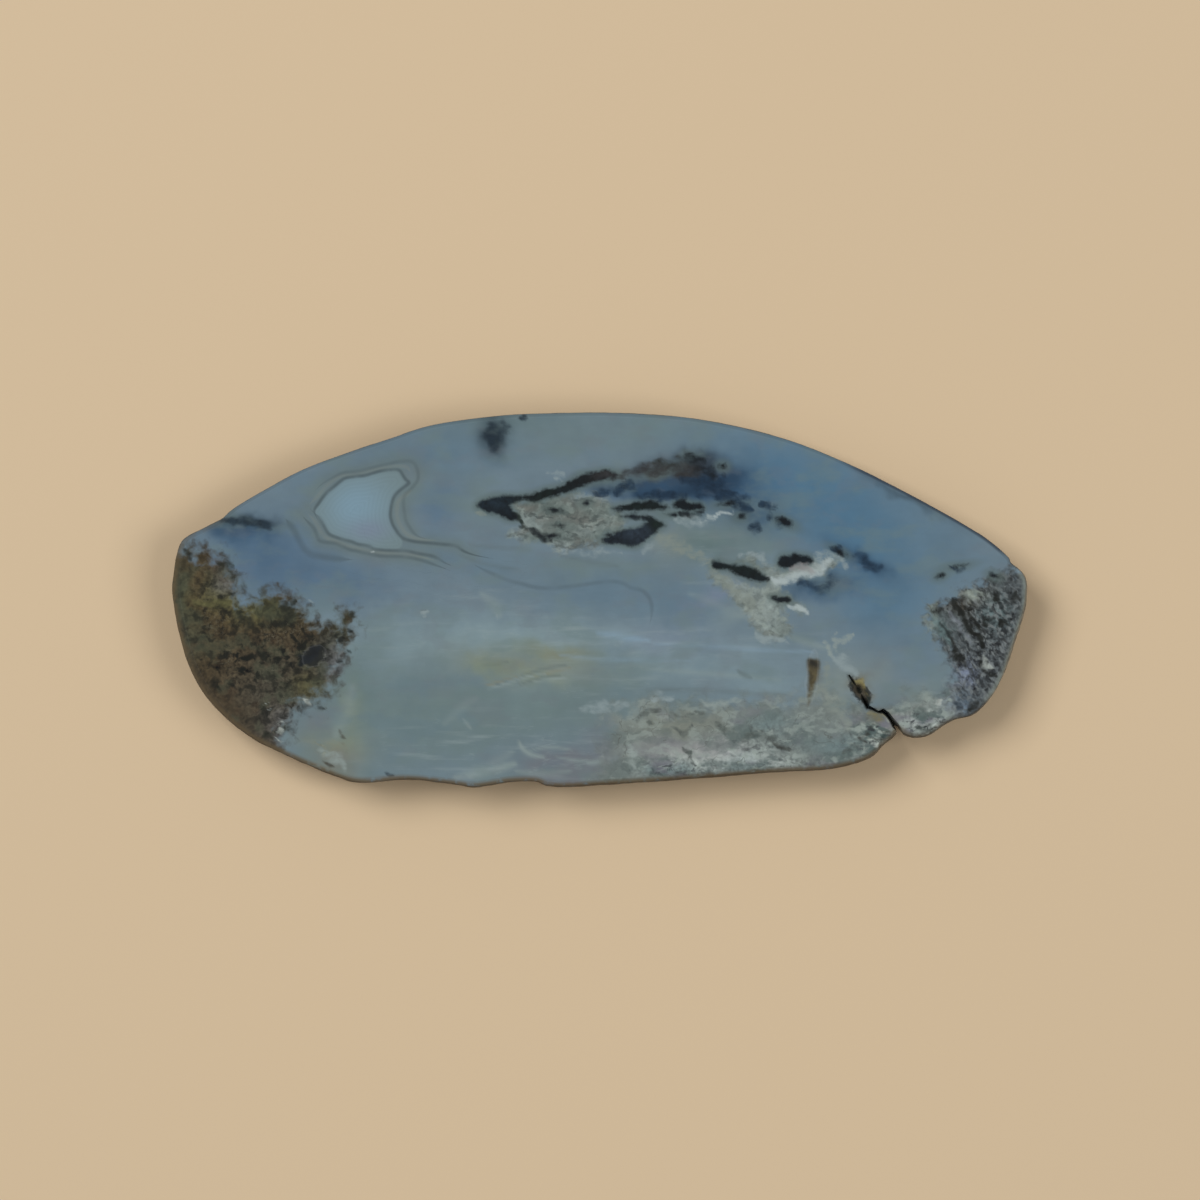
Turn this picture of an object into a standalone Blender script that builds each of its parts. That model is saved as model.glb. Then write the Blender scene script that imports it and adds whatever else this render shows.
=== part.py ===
"""A polished slice of blue dendritic agate, about 100 mm long and 6 mm thick.

The slice is one natural piece. It was sawn from a nodule and its two broad faces were ground flat
and polished, so they are parallel planes. Between them runs the nodule's own rind: rounded, a
little lumpy, widest just under the polished face and drawn in towards the lower face. One open
fissure enters from the lower right edge. The polished face stops at a few natural hollows: a
stained pocket on the fissure, a narrow mould, a small vug and the pores of the pale crust along
the lower right edge.

Units are metres, +Z is up, and the slice lies on its lower face. The origin is under its middle.
"""

import math

import bmesh
import bpy
from mathutils import Matrix, Vector, noise

# Driving dimensions
LENGTH = 0.100
THICKNESS = 0.006

# Rind, measured inwards from the slice's widest outline. The nodule was sawn off its middle, so the
# rind is widest just under the polished face, a little lower on the side that SLANT points to. The
# lumps reach their full depth at LUMP_FADE of the thickness above and below the widest level.
EDGE_INSET = 0.00018
EDGE_DROP = 0.00025
HEEL_INSET = 0.00025
BELLY_HEIGHT = 0.0046
BELLY_SWING = 0.0005
SLANT = (0.62, -0.78)
BULGE = 0.0005
LUMP_SIZE = 0.0052
LUMP_DEPTH = 0.00045
LUMP_FADE = 0.50
RIND_LEVELS = (0.0010, 0.0022, 0.0036, 0.0048)
STATION_SPACING = 0.00080
NORMAL_REACH = 2
SPAN_STEPS = 16

# Cutters rise this far over the face that they cut
CLEAR = 0.0006

# The outline as a sketch: x to the right and y down, in the sketch's own units. SKETCH_MIDDLE is
# the middle of its box and SKETCH_LENGTH is its length, which the slice's LENGTH gives a real size.
SKETCH_MIDDLE = (599.75, 600.25)
SKETCH_LENGTH = 858.5
ARCHED_TOP = (
    (179, 543), (187, 535), (205, 526), (221, 518), (233, 508), (262, 490.5), (300, 470), (345, 453),
    (392, 437), (435, 424), (500, 415.2), (560, 412.2), (620, 412), (680, 416), (740, 426),
    (800, 443), (860, 468.5), (920, 499), (980, 533), (1008, 555),
)
BLUNT_RIGHT_END = (
    (1012, 562), (1021, 569), (1027, 577), (1029, 590), (1027, 610), (1018, 641), (1004, 679),
    (990, 701), (974, 716), (956, 721),
)
RIGHT_LOBE = ((944, 727), (931, 736.5), (917, 739.5), (906, 737), (900, 732))
LEFT_LOBE = ((894, 739), (884, 747), (874, 757), (856, 765), (825, 771))
WAVY_BASE = (
    (770, 774), (710, 779), (650, 783.3), (575, 788), (548, 787.3), (535, 783), (510, 783),
    (490, 786.5), (472, 788.5), (452, 785.5), (405, 781), (362, 784), (335, 778), (292, 759.5),
)
BLUNT_LEFT_END = (
    (258, 743.5), (234, 727), (208, 702), (190, 674), (180, 645), (172.5, 610), (170.5, 587),
    (174, 560),
)
OUTLINE = ARCHED_TOP + BLUNT_RIGHT_END + RIGHT_LOBE + LEFT_LOBE + WAVY_BASE + BLUNT_LEFT_END

# Stretches where the edge of the face is worn rounder: middle, reach and extra inset. The face's
# own rim takes all of that inset, the shoulder under it and the heel take a share of it, and the
# shoulder also drops by a share of it.
SOFT_EDGES = (
    ((190, 640), 0.014, 0.0007),
    ((1010, 640), 0.009, 0.0007),
    ((760, 775), 0.013, 0.0003),
    ((930, 735), 0.005, 0.0003),
)
SHOULDER_SHARE = 0.25
SHOULDER_DROP_SHARE = 0.5
HEEL_SHARE = 0.4

# Grooves in the face: stations of place, width at the face and depth under it
FISSURE = (
    ((903, 742), 0.0014, 0.0075),
    ((899, 730), 0.0007, 0.0068),
    ((892, 720), 0.0007, 0.0030),
    ((883, 711), 0.0006, 0.0022),
    ((874, 709), 0.0003, 0.0014),
    ((866, 703), 0.0005, 0.0015),
    ((861, 693), 0.0008, 0.0013),
    ((848, 674), 0.0002, 0.0005),
)
MOULD = (
    ((813, 659), 0.0009, 0.0005),
    ((813, 672), 0.0010, 0.0006),
    ((811, 686), 0.0006, 0.0005),
    ((808, 703), 0.0001, 0.0002),
)

# Hollows in the face: place, half lengths, turn in degrees and depth. Each is the lower part of a
# flattened ball whose middle is HOLLOW_RISE of its half height over the face.
HOLLOW_RISE = 0.35
STAINED_POCKET = ((860, 691), 0.0013, 0.0007, -52, 0.0015)
MOSS_VUG = ((314, 656), 0.0011, 0.0008, 40, 0.0009)
CRUST_PORES = (
    ((627, 748), 0.0007, 0.0005, 60, 0.0004),
    ((652, 725), 0.0012, 0.0005, 5, 0.0004),
    ((676, 716), 0.0011, 0.0004, 20, 0.0003),
    ((660, 770), 0.0013, 0.0008, 10, 0.0006),
    ((694, 760), 0.0014, 0.0006, -50, 0.0006),
    ((682, 776), 0.0012, 0.0007, 5, 0.0007),
    ((724, 731), 0.0012, 0.0005, -45, 0.0004),
    ((752, 737), 0.0011, 0.0006, -20, 0.0004),
    ((778, 744), 0.0013, 0.0005, -25, 0.0004),
    ((735, 766), 0.0013, 0.0007, 15, 0.0006),
    ((808, 760), 0.0014, 0.0006, 5, 0.0005),
    ((846, 752), 0.0012, 0.0007, 30, 0.0005),
    ((872, 733), 0.0009, 0.0005, 70, 0.0005),
    ((886, 737), 0.0007, 0.0005, 40, 0.0005),
    ((925, 728), 0.0010, 0.0005, 20, 0.0004),
)

# Finish
AGATE_BLUE = (0.115, 0.17, 0.235, 1.0)
AGATE_ROUGHNESS = 0.16


def clear_scene():
    for thing in list(bpy.data.objects):
        bpy.data.objects.remove(thing, do_unlink=True)


def new_collection(name):
    made = bpy.data.collections.new(name)
    bpy.context.scene.collection.children.link(made)
    return made


def place(sketch_point):
    """A sketch point as a plan position in metres."""
    scale = LENGTH / SKETCH_LENGTH
    x, y = sketch_point
    return Vector(((x - SKETCH_MIDDLE[0]) * scale, (SKETCH_MIDDLE[1] - y) * scale))


def smooth_loop(points, spacing):
    """A closed Catmull-Rom curve through the points, as evenly spaced plan positions."""
    count = len(points)
    fine = []
    for i in range(count):
        a, b, c, d = (points[(i + k) % count] for k in (-1, 0, 1, 2))
        slope = c - a
        bend = 2 * a - 5 * b + 4 * c - d
        twist = 3 * b - a - 3 * c + d
        for step in range(SPAN_STEPS):
            t = step / SPAN_STEPS
            fine.append(b + 0.5 * (slope * t + bend * t**2 + twist * t**3))
    lengths = [0.0]
    for i, point in enumerate(fine):
        lengths.append(lengths[-1] + (fine[(i + 1) % len(fine)] - point).length)
    stations = round(lengths[-1] / spacing)
    loop = []
    span = 0
    for k in range(stations):
        wanted = lengths[-1] * k / stations
        while lengths[span + 1] < wanted:
            span += 1
        share = (wanted - lengths[span]) / (lengths[span + 1] - lengths[span])
        loop.append(fine[span].lerp(fine[(span + 1) % len(fine)], share))
    return loop


def outward_normals(loop):
    """Unit normals of a clockwise loop, each taken across a few neighbours so that offsets stay smooth."""
    count = len(loop)
    normals = []
    for i in range(count):
        along = loop[(i + NORMAL_REACH) % count] - loop[(i - NORMAL_REACH) % count]
        normals.append(Vector((-along.y, along.x)).normalized())
    return normals


def edge_softness(point):
    """Extra inset of the polished face where the slice's edge is worn round."""
    extra = 0.0
    for middle, reach, inset in SOFT_EDGES:
        distance = (point - place(middle)).length
        extra += inset * math.exp(-((distance / reach) ** 2))
    return extra


def rind_inset(point, normal, height):
    """How far the rind lies inside the widest outline at a height: a bulge round the belly, and lumps."""
    belly = BELLY_HEIGHT - BELLY_SWING * normal.dot(Vector(SLANT))
    away = abs(height - belly) / THICKNESS
    lump = 0.5 + 0.5 * noise.noise(Vector((point.x, point.y, height)) / LUMP_SIZE)
    return BULGE * (2 * away) ** 2 + LUMP_DEPTH * lump * min(1.0, away / LUMP_FADE)


def rind_rings(loop):
    """The stacked outlines that the rind is lofted through, from the underside to the polished face."""
    normals = outward_normals(loop)
    heel = (0.0, HEEL_INSET, HEEL_SHARE, 0.0)
    side = [(height, 0.0, 0.0, 0.0) for height in RIND_LEVELS]
    shoulder = (THICKNESS - EDGE_DROP, 0.0, SHOULDER_SHARE, SHOULDER_DROP_SHARE)
    rim = (THICKNESS, EDGE_INSET, 1.0, 0.0)
    rings = []
    for height, inset, soft_share, drop_share in (heel, *side, shoulder, rim):
        ring = []
        for point, normal in zip(loop, normals):
            soft = edge_softness(point)
            depth = rind_inset(point, normal, height) + inset + soft_share * soft
            plan = point - normal * depth
            ring.append(Vector((plan.x, plan.y, height - drop_share * soft)))
        rings.append(ring)
    return rings


def loft(name, rings, collection):
    """A closed solid through rings of equal length, capped by its first and last ring."""
    mesh = bpy.data.meshes.new(name)
    shape = bmesh.new()
    rows = [[shape.verts.new(point) for point in ring] for ring in rings]
    count = len(rows[0])
    for low, high in zip(rows, rows[1:]):
        for i in range(count):
            j = (i + 1) % count
            shape.faces.new((low[i], low[j], high[j], high[i]))
    shape.faces.new(rows[0])
    shape.faces.new(rows[-1])
    bmesh.ops.recalc_face_normals(shape, faces=shape.faces)
    shape.to_mesh(mesh)
    shape.free()
    made = bpy.data.objects.new(name, mesh)
    collection.objects.link(made)
    return made


def groove_cutter(name, stations, collection):
    """A wedge that is driven into the face along a path, with its edge at each station's depth."""
    plan = [place(station[0]) for station in stations]
    rings = []
    for i, (_, width, depth) in enumerate(stations):
        along = (plan[min(i + 1, len(plan) - 1)] - plan[max(i - 1, 0)]).normalized()
        across = Vector((-along.y, along.x)) * (width / 2 * (depth + CLEAR) / depth)
        left, right = plan[i] + across, plan[i] - across
        rings.append(
            [
                Vector((left.x, left.y, THICKNESS + CLEAR)),
                Vector((plan[i].x, plan[i].y, THICKNESS - depth)),
                Vector((right.x, right.y, THICKNESS + CLEAR)),
            ]
        )
    return loft(name, rings, collection)


def hollow_cutter(name, hollow, collection):
    """A flattened ball whose lower part leaves a smooth hollow in the face."""
    middle, half_length, half_width, turn, depth = hollow
    plan = place(middle)
    mesh = bpy.data.meshes.new(name)
    shape = bmesh.new()
    bmesh.ops.create_icosphere(shape, subdivisions=2, radius=1.0)
    widen = 1 / math.sqrt(1 - HOLLOW_RISE**2)
    tall = depth / (1 - HOLLOW_RISE)
    size = Matrix.Diagonal((half_length * widen, half_width * widen, tall, 1.0))
    spin = Matrix.Rotation(math.radians(turn), 4, "Z")
    shift = Matrix.Translation((plan.x, plan.y, THICKNESS + tall * HOLLOW_RISE))
    bmesh.ops.transform(shape, matrix=shift @ spin @ size, verts=shape.verts)
    shape.to_mesh(mesh)
    shape.free()
    made = bpy.data.objects.new(name, mesh)
    collection.objects.link(made)
    return made


def agate_material():
    material = bpy.data.materials.new("polished agate")
    material.use_nodes = True
    shader = material.node_tree.nodes["Principled BSDF"]
    shader.inputs["Base Color"].default_value = AGATE_BLUE
    shader.inputs["Roughness"].default_value = AGATE_ROUGHNESS
    return material


def build():
    clear_scene()
    parts = new_collection("agate slice")
    cutters = new_collection("hollows")

    loop = smooth_loop([place(point) for point in OUTLINE], STATION_SPACING)
    agate = loft("agate_slice", rind_rings(loop), parts)
    agate.data.materials.append(agate_material())

    groove_cutter("fissure_cutter", FISSURE, cutters)
    groove_cutter("mould_cutter", MOULD, cutters)
    hollow_cutter("pocket_cutter", STAINED_POCKET, cutters)
    hollow_cutter("vug_cutter", MOSS_VUG, cutters)
    for number, pore in enumerate(CRUST_PORES, start=1):
        hollow_cutter(f"pore_cutter_{number}", pore, cutters)
    for cutter in cutters.objects:
        cutter.hide_render = True
        cutter.display_type = "WIRE"

    cut = agate.modifiers.new("natural hollows", "BOOLEAN")
    cut.operation = "DIFFERENCE"
    cut.solver = "EXACT"
    cut.operand_type = "COLLECTION"
    cut.collection = cutters


build()
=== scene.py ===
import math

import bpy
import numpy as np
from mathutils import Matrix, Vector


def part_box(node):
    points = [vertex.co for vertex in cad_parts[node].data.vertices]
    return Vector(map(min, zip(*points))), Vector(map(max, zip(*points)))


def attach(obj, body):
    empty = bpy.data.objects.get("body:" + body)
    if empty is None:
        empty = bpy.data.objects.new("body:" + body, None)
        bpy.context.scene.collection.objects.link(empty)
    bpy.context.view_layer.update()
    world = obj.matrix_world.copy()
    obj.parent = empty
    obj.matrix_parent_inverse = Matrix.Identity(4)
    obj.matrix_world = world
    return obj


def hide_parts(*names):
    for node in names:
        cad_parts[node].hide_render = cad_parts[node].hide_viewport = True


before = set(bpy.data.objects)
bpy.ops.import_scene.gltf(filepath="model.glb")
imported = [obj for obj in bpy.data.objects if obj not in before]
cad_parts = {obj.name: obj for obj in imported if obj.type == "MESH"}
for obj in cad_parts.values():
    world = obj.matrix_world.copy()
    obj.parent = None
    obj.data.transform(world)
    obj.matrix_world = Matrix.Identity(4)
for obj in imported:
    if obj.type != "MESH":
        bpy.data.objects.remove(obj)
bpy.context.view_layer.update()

# Looks of a polished slice of blue dendritic agate: one natural piece that lies flat on a pale floor.
# Its markings are sketched as outlines, lines and soft patches on its plan. numpy turns them into
# distances and tints at the mesh's points, and the material's nodes turn those into bands and grains.


# The stone. One piece of agate was sawn from a nodule and ground flat and polished on both faces, and
# its side is the nodule's own lumpy rind. Its mesh is a grid over the polished face, rings down the
# rind and a coarser grid under it. Its outline and profile are those of the solid that it stands for.

AGATE = "agate_slice"
LOW, HIGH = (np.array(corner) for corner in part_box(AGATE))
THICKNESS = HIGH[2] - LOW[2]

# The sketch has x to the right and y down. SKETCH_MIDDLE is the middle of its box.
SKETCH_MIDDLE = np.array((599.75, 600.25))
SKETCH_LENGTH = 858.5
UNIT = (HIGH[0] - LOW[0]) / SKETCH_LENGTH
ARCHED_TOP = (
    (179, 543), (187, 535), (205, 526), (221, 518), (233, 508), (262, 490.5), (300, 470), (345, 453),
    (392, 437), (435, 424), (500, 415.2), (560, 412.2), (620, 412), (680, 416), (740, 426),
    (800, 443), (860, 468.5), (920, 499), (980, 533), (1008, 555), (1012, 562), (1021, 569),
)
BLUNT_RIGHT_END = ((1027, 577), (1029, 590), (1027, 610), (1018, 641), (1004, 679), (990, 701))
LOBED_BASE = (
    (974, 716), (956, 721), (944, 727), (931, 736.5), (917, 739.5), (906, 737), (900, 732),
    (894, 739), (884, 747), (874, 757), (856, 765), (825, 771), (770, 774), (710, 779),
    (650, 783.3), (575, 788), (548, 787.3), (535, 783), (510, 783), (490, 786.5), (472, 788.5),
    (452, 785.5), (405, 781), (362, 784), (335, 778), (292, 759.5),
)
BLUNT_LEFT_END = (
    (258, 743.5), (234, 727), (208, 702), (190, 674), (180, 645), (172.5, 610), (170.5, 587),
    (174, 560),
)
SPAN_STEPS = 16
FACE_COLUMNS, FACE_ROWS = 392, 148

# Profile of the rind, measured inwards from the outline, in metres
EDGE_INSET = 0.00018
EDGE_DROP = 0.00025
HEEL_INSET = 0.00025
HEEL_RISE = 0.00030
BELLY_HEIGHT = 0.0046
BELLY_SWING = 0.0005
SLANT = np.array((0.62, -0.78))
BULGE = 0.0005
NORMAL_REACH = 0.0030
LUMP_SIZE = 0.0052
LUMP_DEPTH = 0.00045
LUMP_FADE = 0.50
LUMP_SEED = 1
SHOULDER_STEPS = 4
SIDE_LEVELS = 9
HEEL_STEPS = 2
# Fine pits of the rind: size, depth and seed of each layer of noise
PIT_LAYERS = ((0.0016, 0.00012, 2), (0.0007, 0.00007, 3))

# Stretches where the edge is worn rounder: middle, reach and extra inset of the face's rim. The
# shoulder and the heel take a share of it, and the shoulder also drops by a share.
SOFT_EDGES = (
    ((190, 640), 0.014, 0.0007),
    ((1010, 640), 0.009, 0.0007),
    ((760, 775), 0.013, 0.0003),
    ((930, 735), 0.005, 0.0003),
)
SHOULDER_SHARE = 0.25
SHOULDER_DROP_SHARE = 0.5
HEEL_SHARE = 0.4

# Natural hollows in the face: middle, half lengths in metres, turn in degrees and depth in metres
POCKET = ((860, 691), 0.0013, 0.0007, -52, 0.0015)
VUG = ((314, 656), 0.0011, 0.0008, 40, 0.0003)
MOULD_DENT = ((812, 676), 0.0005, 0.0023, -6, 0.0002)
CRUST_PORES = (
    ((627, 748), 0.0007, 0.0005, 60, 0.00016),
    ((652, 725), 0.0012, 0.0005, 5, 0.00016),
    ((676, 716), 0.0011, 0.0004, 20, 0.00012),
    ((660, 770), 0.0013, 0.0008, 10, 0.00024),
    ((694, 760), 0.0014, 0.0006, -50, 0.00024),
    ((682, 776), 0.0012, 0.0007, 5, 0.00028),
    ((724, 731), 0.0012, 0.0005, -45, 0.00016),
    ((752, 737), 0.0011, 0.0006, -20, 0.00016),
    ((778, 744), 0.0013, 0.0005, -25, 0.00016),
    ((735, 766), 0.0013, 0.0007, 15, 0.00024),
    ((808, 760), 0.0014, 0.0006, 5, 0.00020),
    ((846, 752), 0.0012, 0.0007, 30, 0.00020),
    ((872, 733), 0.0009, 0.0005, 70, 0.00020),
    ((886, 737), 0.0007, 0.0005, 40, 0.00020),
    ((925, 728), 0.0010, 0.0005, 20, 0.00016),
)
# Their rims wander by a share of their size, in steps of a grain. They lower what lies less than
# HOLLOW_REACH under the face, and in full what lies less than HOLLOW_FULL under it.
HOLLOW_WANDER, HOLLOW_GRAIN, HOLLOW_SEED = 0.25, 0.0005, 5
HOLLOW_REACH, HOLLOW_FULL = 0.0012, 0.00024

# The open fissure: place, width at the face and depth, in metres
FISSURE = (
    ((905, 746), 0.0016, 0.0078),
    ((903, 742), 0.0014, 0.0075),
    ((899, 730), 0.0007, 0.0068),
    ((895, 725), 0.0008, 0.0045),
    ((891, 719), 0.0006, 0.0030),
    ((887, 714), 0.0006, 0.0025),
    ((883, 711), 0.0006, 0.0022),
    ((878, 712), 0.0003, 0.0017),
    ((873, 709), 0.0003, 0.0014),
    ((868, 707), 0.0005, 0.0015),
    ((864, 699), 0.0007, 0.0014),
    ((860, 691), 0.0008, 0.0012),
    ((855, 684), 0.0004, 0.0008),
    ((849, 675), 0.0002, 0.0004),
)
CUTTER_CLEAR = 0.0005
SHARP_ANGLE = 42

# Numbers that scatter the corners of the noise's cubes
HASH_X, HASH_Y, HASH_Z, HASH_SEED, HASH_MIX = 73856093, 19349663, 83492791, 7919, 1274126177


def on_plan(sketch_points):
    """Sketch points as plan positions in metres."""
    return (np.asarray(sketch_points, float) - SKETCH_MIDDLE) * (UNIT, -UNIT)


def curve_through(points, steps, closed=False):
    """Catmull-Rom curve: from b to c it is b + ((c-a)t + (2a-5b+4c-d)t² + (3b-a-3c+d)t³) / 2."""
    points = np.asarray(points, float)
    if closed:
        a, b, c, d = (np.roll(points, -shift, axis=0) for shift in (-1, 0, 1, 2))
    else:
        long = np.vstack([2 * points[0] - points[1], points, 2 * points[-1] - points[-2]])
        a, b, c, d = long[:-3], long[1:-2], long[2:-1], long[3:]
    a, b, c, d = (corner[:, None, :] for corner in (a, b, c, d))
    t = (np.arange(steps) / steps)[None, :, None]
    twist = 3 * b - a - 3 * c + d
    curve = b + 0.5 * ((c - a) * t + (2 * a - 5 * b + 4 * c - d) * t**2 + twist * t**3)
    curve = curve.reshape(-1, 2)
    return curve if closed else np.vstack([curve, points[-1]])


def evenly(line, count):
    """The points at count equal steps of length along a line, its first included and its last not."""
    steps = np.linalg.norm(np.diff(line, axis=0), axis=1)
    lengths = np.concatenate([[0], np.cumsum(steps)])
    wanted = lengths[-1] * np.arange(count) / count
    return np.stack([np.interp(wanted, lengths, line[:, axis]) for axis in (0, 1)], axis=1)


def ellipse_radius(places, middle, reach, turn):
    """Radius of places in an ellipse, 0 at its middle and 1 on its rim. The turn lifts its right end."""
    x, y = (places - np.asarray(middle, float)).T
    c, s = math.cos(math.radians(turn)), math.sin(math.radians(turn))
    return np.hypot((x * c - y * s) / reach[0], (x * s + y * c) / reach[1])


def lattice_noise(points, size, seed):
    """Smooth noise from -1 to 1: hashed values at the corners of cubes, blended by 3t² - 2t³."""
    scaled = points / size
    cell = np.floor(scaled).astype(np.int64)
    t = scaled - cell
    t = t * t * (3 - 2 * t)
    total = np.zeros(len(points))
    for corner in np.ndindex(2, 2, 2):
        at = cell + corner
        mixed = (at[:, 0] * HASH_X) ^ (at[:, 1] * HASH_Y) ^ (at[:, 2] * HASH_Z) ^ (seed * HASH_SEED)
        mixed = ((mixed ^ (mixed >> 13)) * HASH_MIX) & 0xFFFFFFFF
        share = np.prod(np.where(corner, t, 1 - t), axis=1)
        total += share * (mixed / 2**31 - 1)
    return total


def smooth_step(value, start, stop):
    """0 up to start and 1 from stop, 3t² - 2t³ between them."""
    t = np.clip((value - start) / (stop - start), 0, 1)
    return t * t * (3 - 2 * t)


def slice_outline():
    """The outline in plan as evenly spaced stations, from the top left corner round to the right."""
    sketch = ARCHED_TOP + BLUNT_RIGHT_END + LOBED_BASE + BLUNT_LEFT_END
    fine = curve_through(on_plan(sketch), SPAN_STEPS, closed=True)
    top_right = len(ARCHED_TOP) * SPAN_STEPS
    base_right = (len(ARCHED_TOP) + len(BLUNT_RIGHT_END)) * SPAN_STEPS
    base_left = (len(sketch) - len(BLUNT_LEFT_END)) * SPAN_STEPS
    fine = np.vstack([fine, fine[0]])
    sides = (
        (0, top_right, FACE_COLUMNS),
        (top_right, base_right, FACE_ROWS),
        (base_right, base_left, FACE_COLUMNS),
        (base_left, len(fine) - 1, FACE_ROWS),
    )
    return np.vstack([evenly(fine[start : stop + 1], count) for start, stop, count in sides])


def outward_normals(loop):
    """Unit normals of a clockwise loop, each across NORMAL_REACH on either side."""
    spacing = np.linalg.norm(np.roll(loop, -1, axis=0) - loop, axis=1).mean()
    reach = round(NORMAL_REACH / spacing)
    along = np.roll(loop, -reach, axis=0) - np.roll(loop, reach, axis=0)
    normals = np.stack([-along[:, 1], along[:, 0]], axis=1)
    return normals / np.linalg.norm(normals, axis=1, keepdims=True)


def edge_softness(loop):
    """Extra inset at each station: a sum of soft-edge insets, each times exp(-(distance / reach)²)."""
    distances = [np.linalg.norm(loop - on_plan(middle), axis=1) for middle, _, _ in SOFT_EDGES]
    return sum(
        inset * np.exp(-((distance / reach) ** 2))
        for distance, (_, reach, inset) in zip(distances, SOFT_EDGES)
    )


def rind_inset(loop, normals, height):
    """Inset of the rind at a height: a parabola away from the belly's height, plus noise lumps."""
    belly = BELLY_HEIGHT - BELLY_SWING * (normals @ SLANT)
    away = np.abs(height - belly) / THICKNESS
    solid = np.column_stack([loop, np.broadcast_to(height, len(loop))])
    lump = 0.5 + 0.5 * lattice_noise(solid, LUMP_SIZE, LUMP_SEED)
    fade = np.minimum(1, away / LUMP_FADE)
    return BULGE * (2 * away) ** 2 + LUMP_DEPTH * lump * fade


def roughness_inset(loop, height):
    """Fine pits of the rind, deepest at mid height and gone at both faces."""
    solid = np.column_stack([loop, np.broadcast_to(height, len(loop))])
    fade = np.clip(4 * height / THICKNESS * (1 - height / THICKNESS), 0, 1)
    return fade * sum(
        depth * (0.5 + 0.5 * lattice_noise(solid, size, seed)) for size, depth, seed in PIT_LAYERS
    )


def rind_rings(loop):
    """Rings from the face's rim to the heel: a quarter ellipse, the bulging side, a quarter ellipse."""
    normals = outward_normals(loop)
    soft = edge_softness(loop)
    shoulder_height = THICKNESS - EDGE_DROP - SHOULDER_DROP_SHARE * soft
    shoulder_inset = rind_inset(loop, normals, shoulder_height) + SHOULDER_SHARE * soft
    rim_inset = rind_inset(loop, normals, THICKNESS) + EDGE_INSET + soft
    heel_inset = rind_inset(loop, normals, 0.0) + HEEL_INSET + HEEL_SHARE * soft
    low_inset = rind_inset(loop, normals, HEEL_RISE) + SHOULDER_SHARE * soft
    profile = []
    for angle in np.linspace(0, math.pi / 2, SHOULDER_STEPS + 1):
        inset = shoulder_inset + (rim_inset - shoulder_inset) * (1 - math.sin(angle))
        profile.append((inset, shoulder_height + (THICKNESS - shoulder_height) * math.cos(angle)))
    for share in np.linspace(0, 1, SIDE_LEVELS + 2)[1:]:
        height = shoulder_height + (HEEL_RISE - shoulder_height) * share
        edge = SHOULDER_SHARE * soft * (2 * share - 1) ** 2
        inset = rind_inset(loop, normals, height) + edge + roughness_inset(loop, height)
        profile.append((inset, height))
    for angle in np.linspace(0, math.pi / 2, HEEL_STEPS + 1)[1:]:
        inset = low_inset + (heel_inset - low_inset) * (1 - math.cos(angle))
        profile.append((inset, np.full(len(loop), HEEL_RISE * (1 - math.sin(angle)))))
    return [np.column_stack([loop - normals * inset[:, None], height]) for inset, height in profile]


def face_grid(ring, columns, rows):
    """Coons patch inside a ring: the blend of its opposite sides both ways, less that of its corners."""
    top = ring[: columns + 1]
    right = ring[columns : columns + rows + 1]
    base = ring[columns + rows : 2 * columns + rows + 1][::-1]
    left = np.vstack([ring[2 * columns + rows :], ring[:1]])[::-1]
    u = np.linspace(0, 1, columns + 1)[None, :, None]
    v = np.linspace(0, 1, rows + 1)[:, None, None]
    corners = (1 - v) * ((1 - u) * top[0] + u * top[-1]) + v * ((1 - u) * base[0] + u * base[-1])
    sides = (1 - v) * top[None] + v * base[None] + (1 - u) * left[:, None] + u * right[:, None]
    return sides - corners


def grid_ring(numbers):
    """A grid's outer vertex numbers, in the order of the loop."""
    return np.concatenate([numbers[0, :-1], numbers[:-1, -1], numbers[-1, :0:-1], numbers[:0:-1, 0]])


def grid_quads(numbers):
    """A grid's quads, facing up."""
    corners = (numbers[:-1, :-1], numbers[1:, :-1], numbers[1:, 1:], numbers[:-1, 1:])
    return np.stack([corner.ravel() for corner in corners], axis=1)


def hollow_depth(points):
    """How far the hollows lower points near the face: depth * (1 - r²)² inside each ragged ellipse."""
    plan, height = points[:, :2], points[:, 2]
    uneven = 1 + HOLLOW_WANDER * lattice_noise(points, HOLLOW_GRAIN, HOLLOW_SEED)
    depth = np.zeros(len(points))
    for middle, half_length, half_width, turn, deepest in (POCKET, VUG, MOULD_DENT, *CRUST_PORES):
        mirrored = (plan - on_plan(middle)) * (1, -1)
        r = ellipse_radius(mirrored, (0, 0), (half_length, half_width), turn) * uneven
        depth = np.maximum(depth, deepest * np.clip(1 - r * r, 0, 1) ** 2)
    return depth * smooth_step(height, THICKNESS - HOLLOW_REACH, THICKNESS - HOLLOW_FULL)


def new_mesh(name, points, faces):
    """A mesh object from points and a list of faces."""
    mesh = bpy.data.meshes.new(name)
    mesh.from_pydata(points.tolist(), [], faces)
    made = bpy.data.objects.new(name, mesh)
    bpy.context.scene.collection.objects.link(made)
    return made


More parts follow.
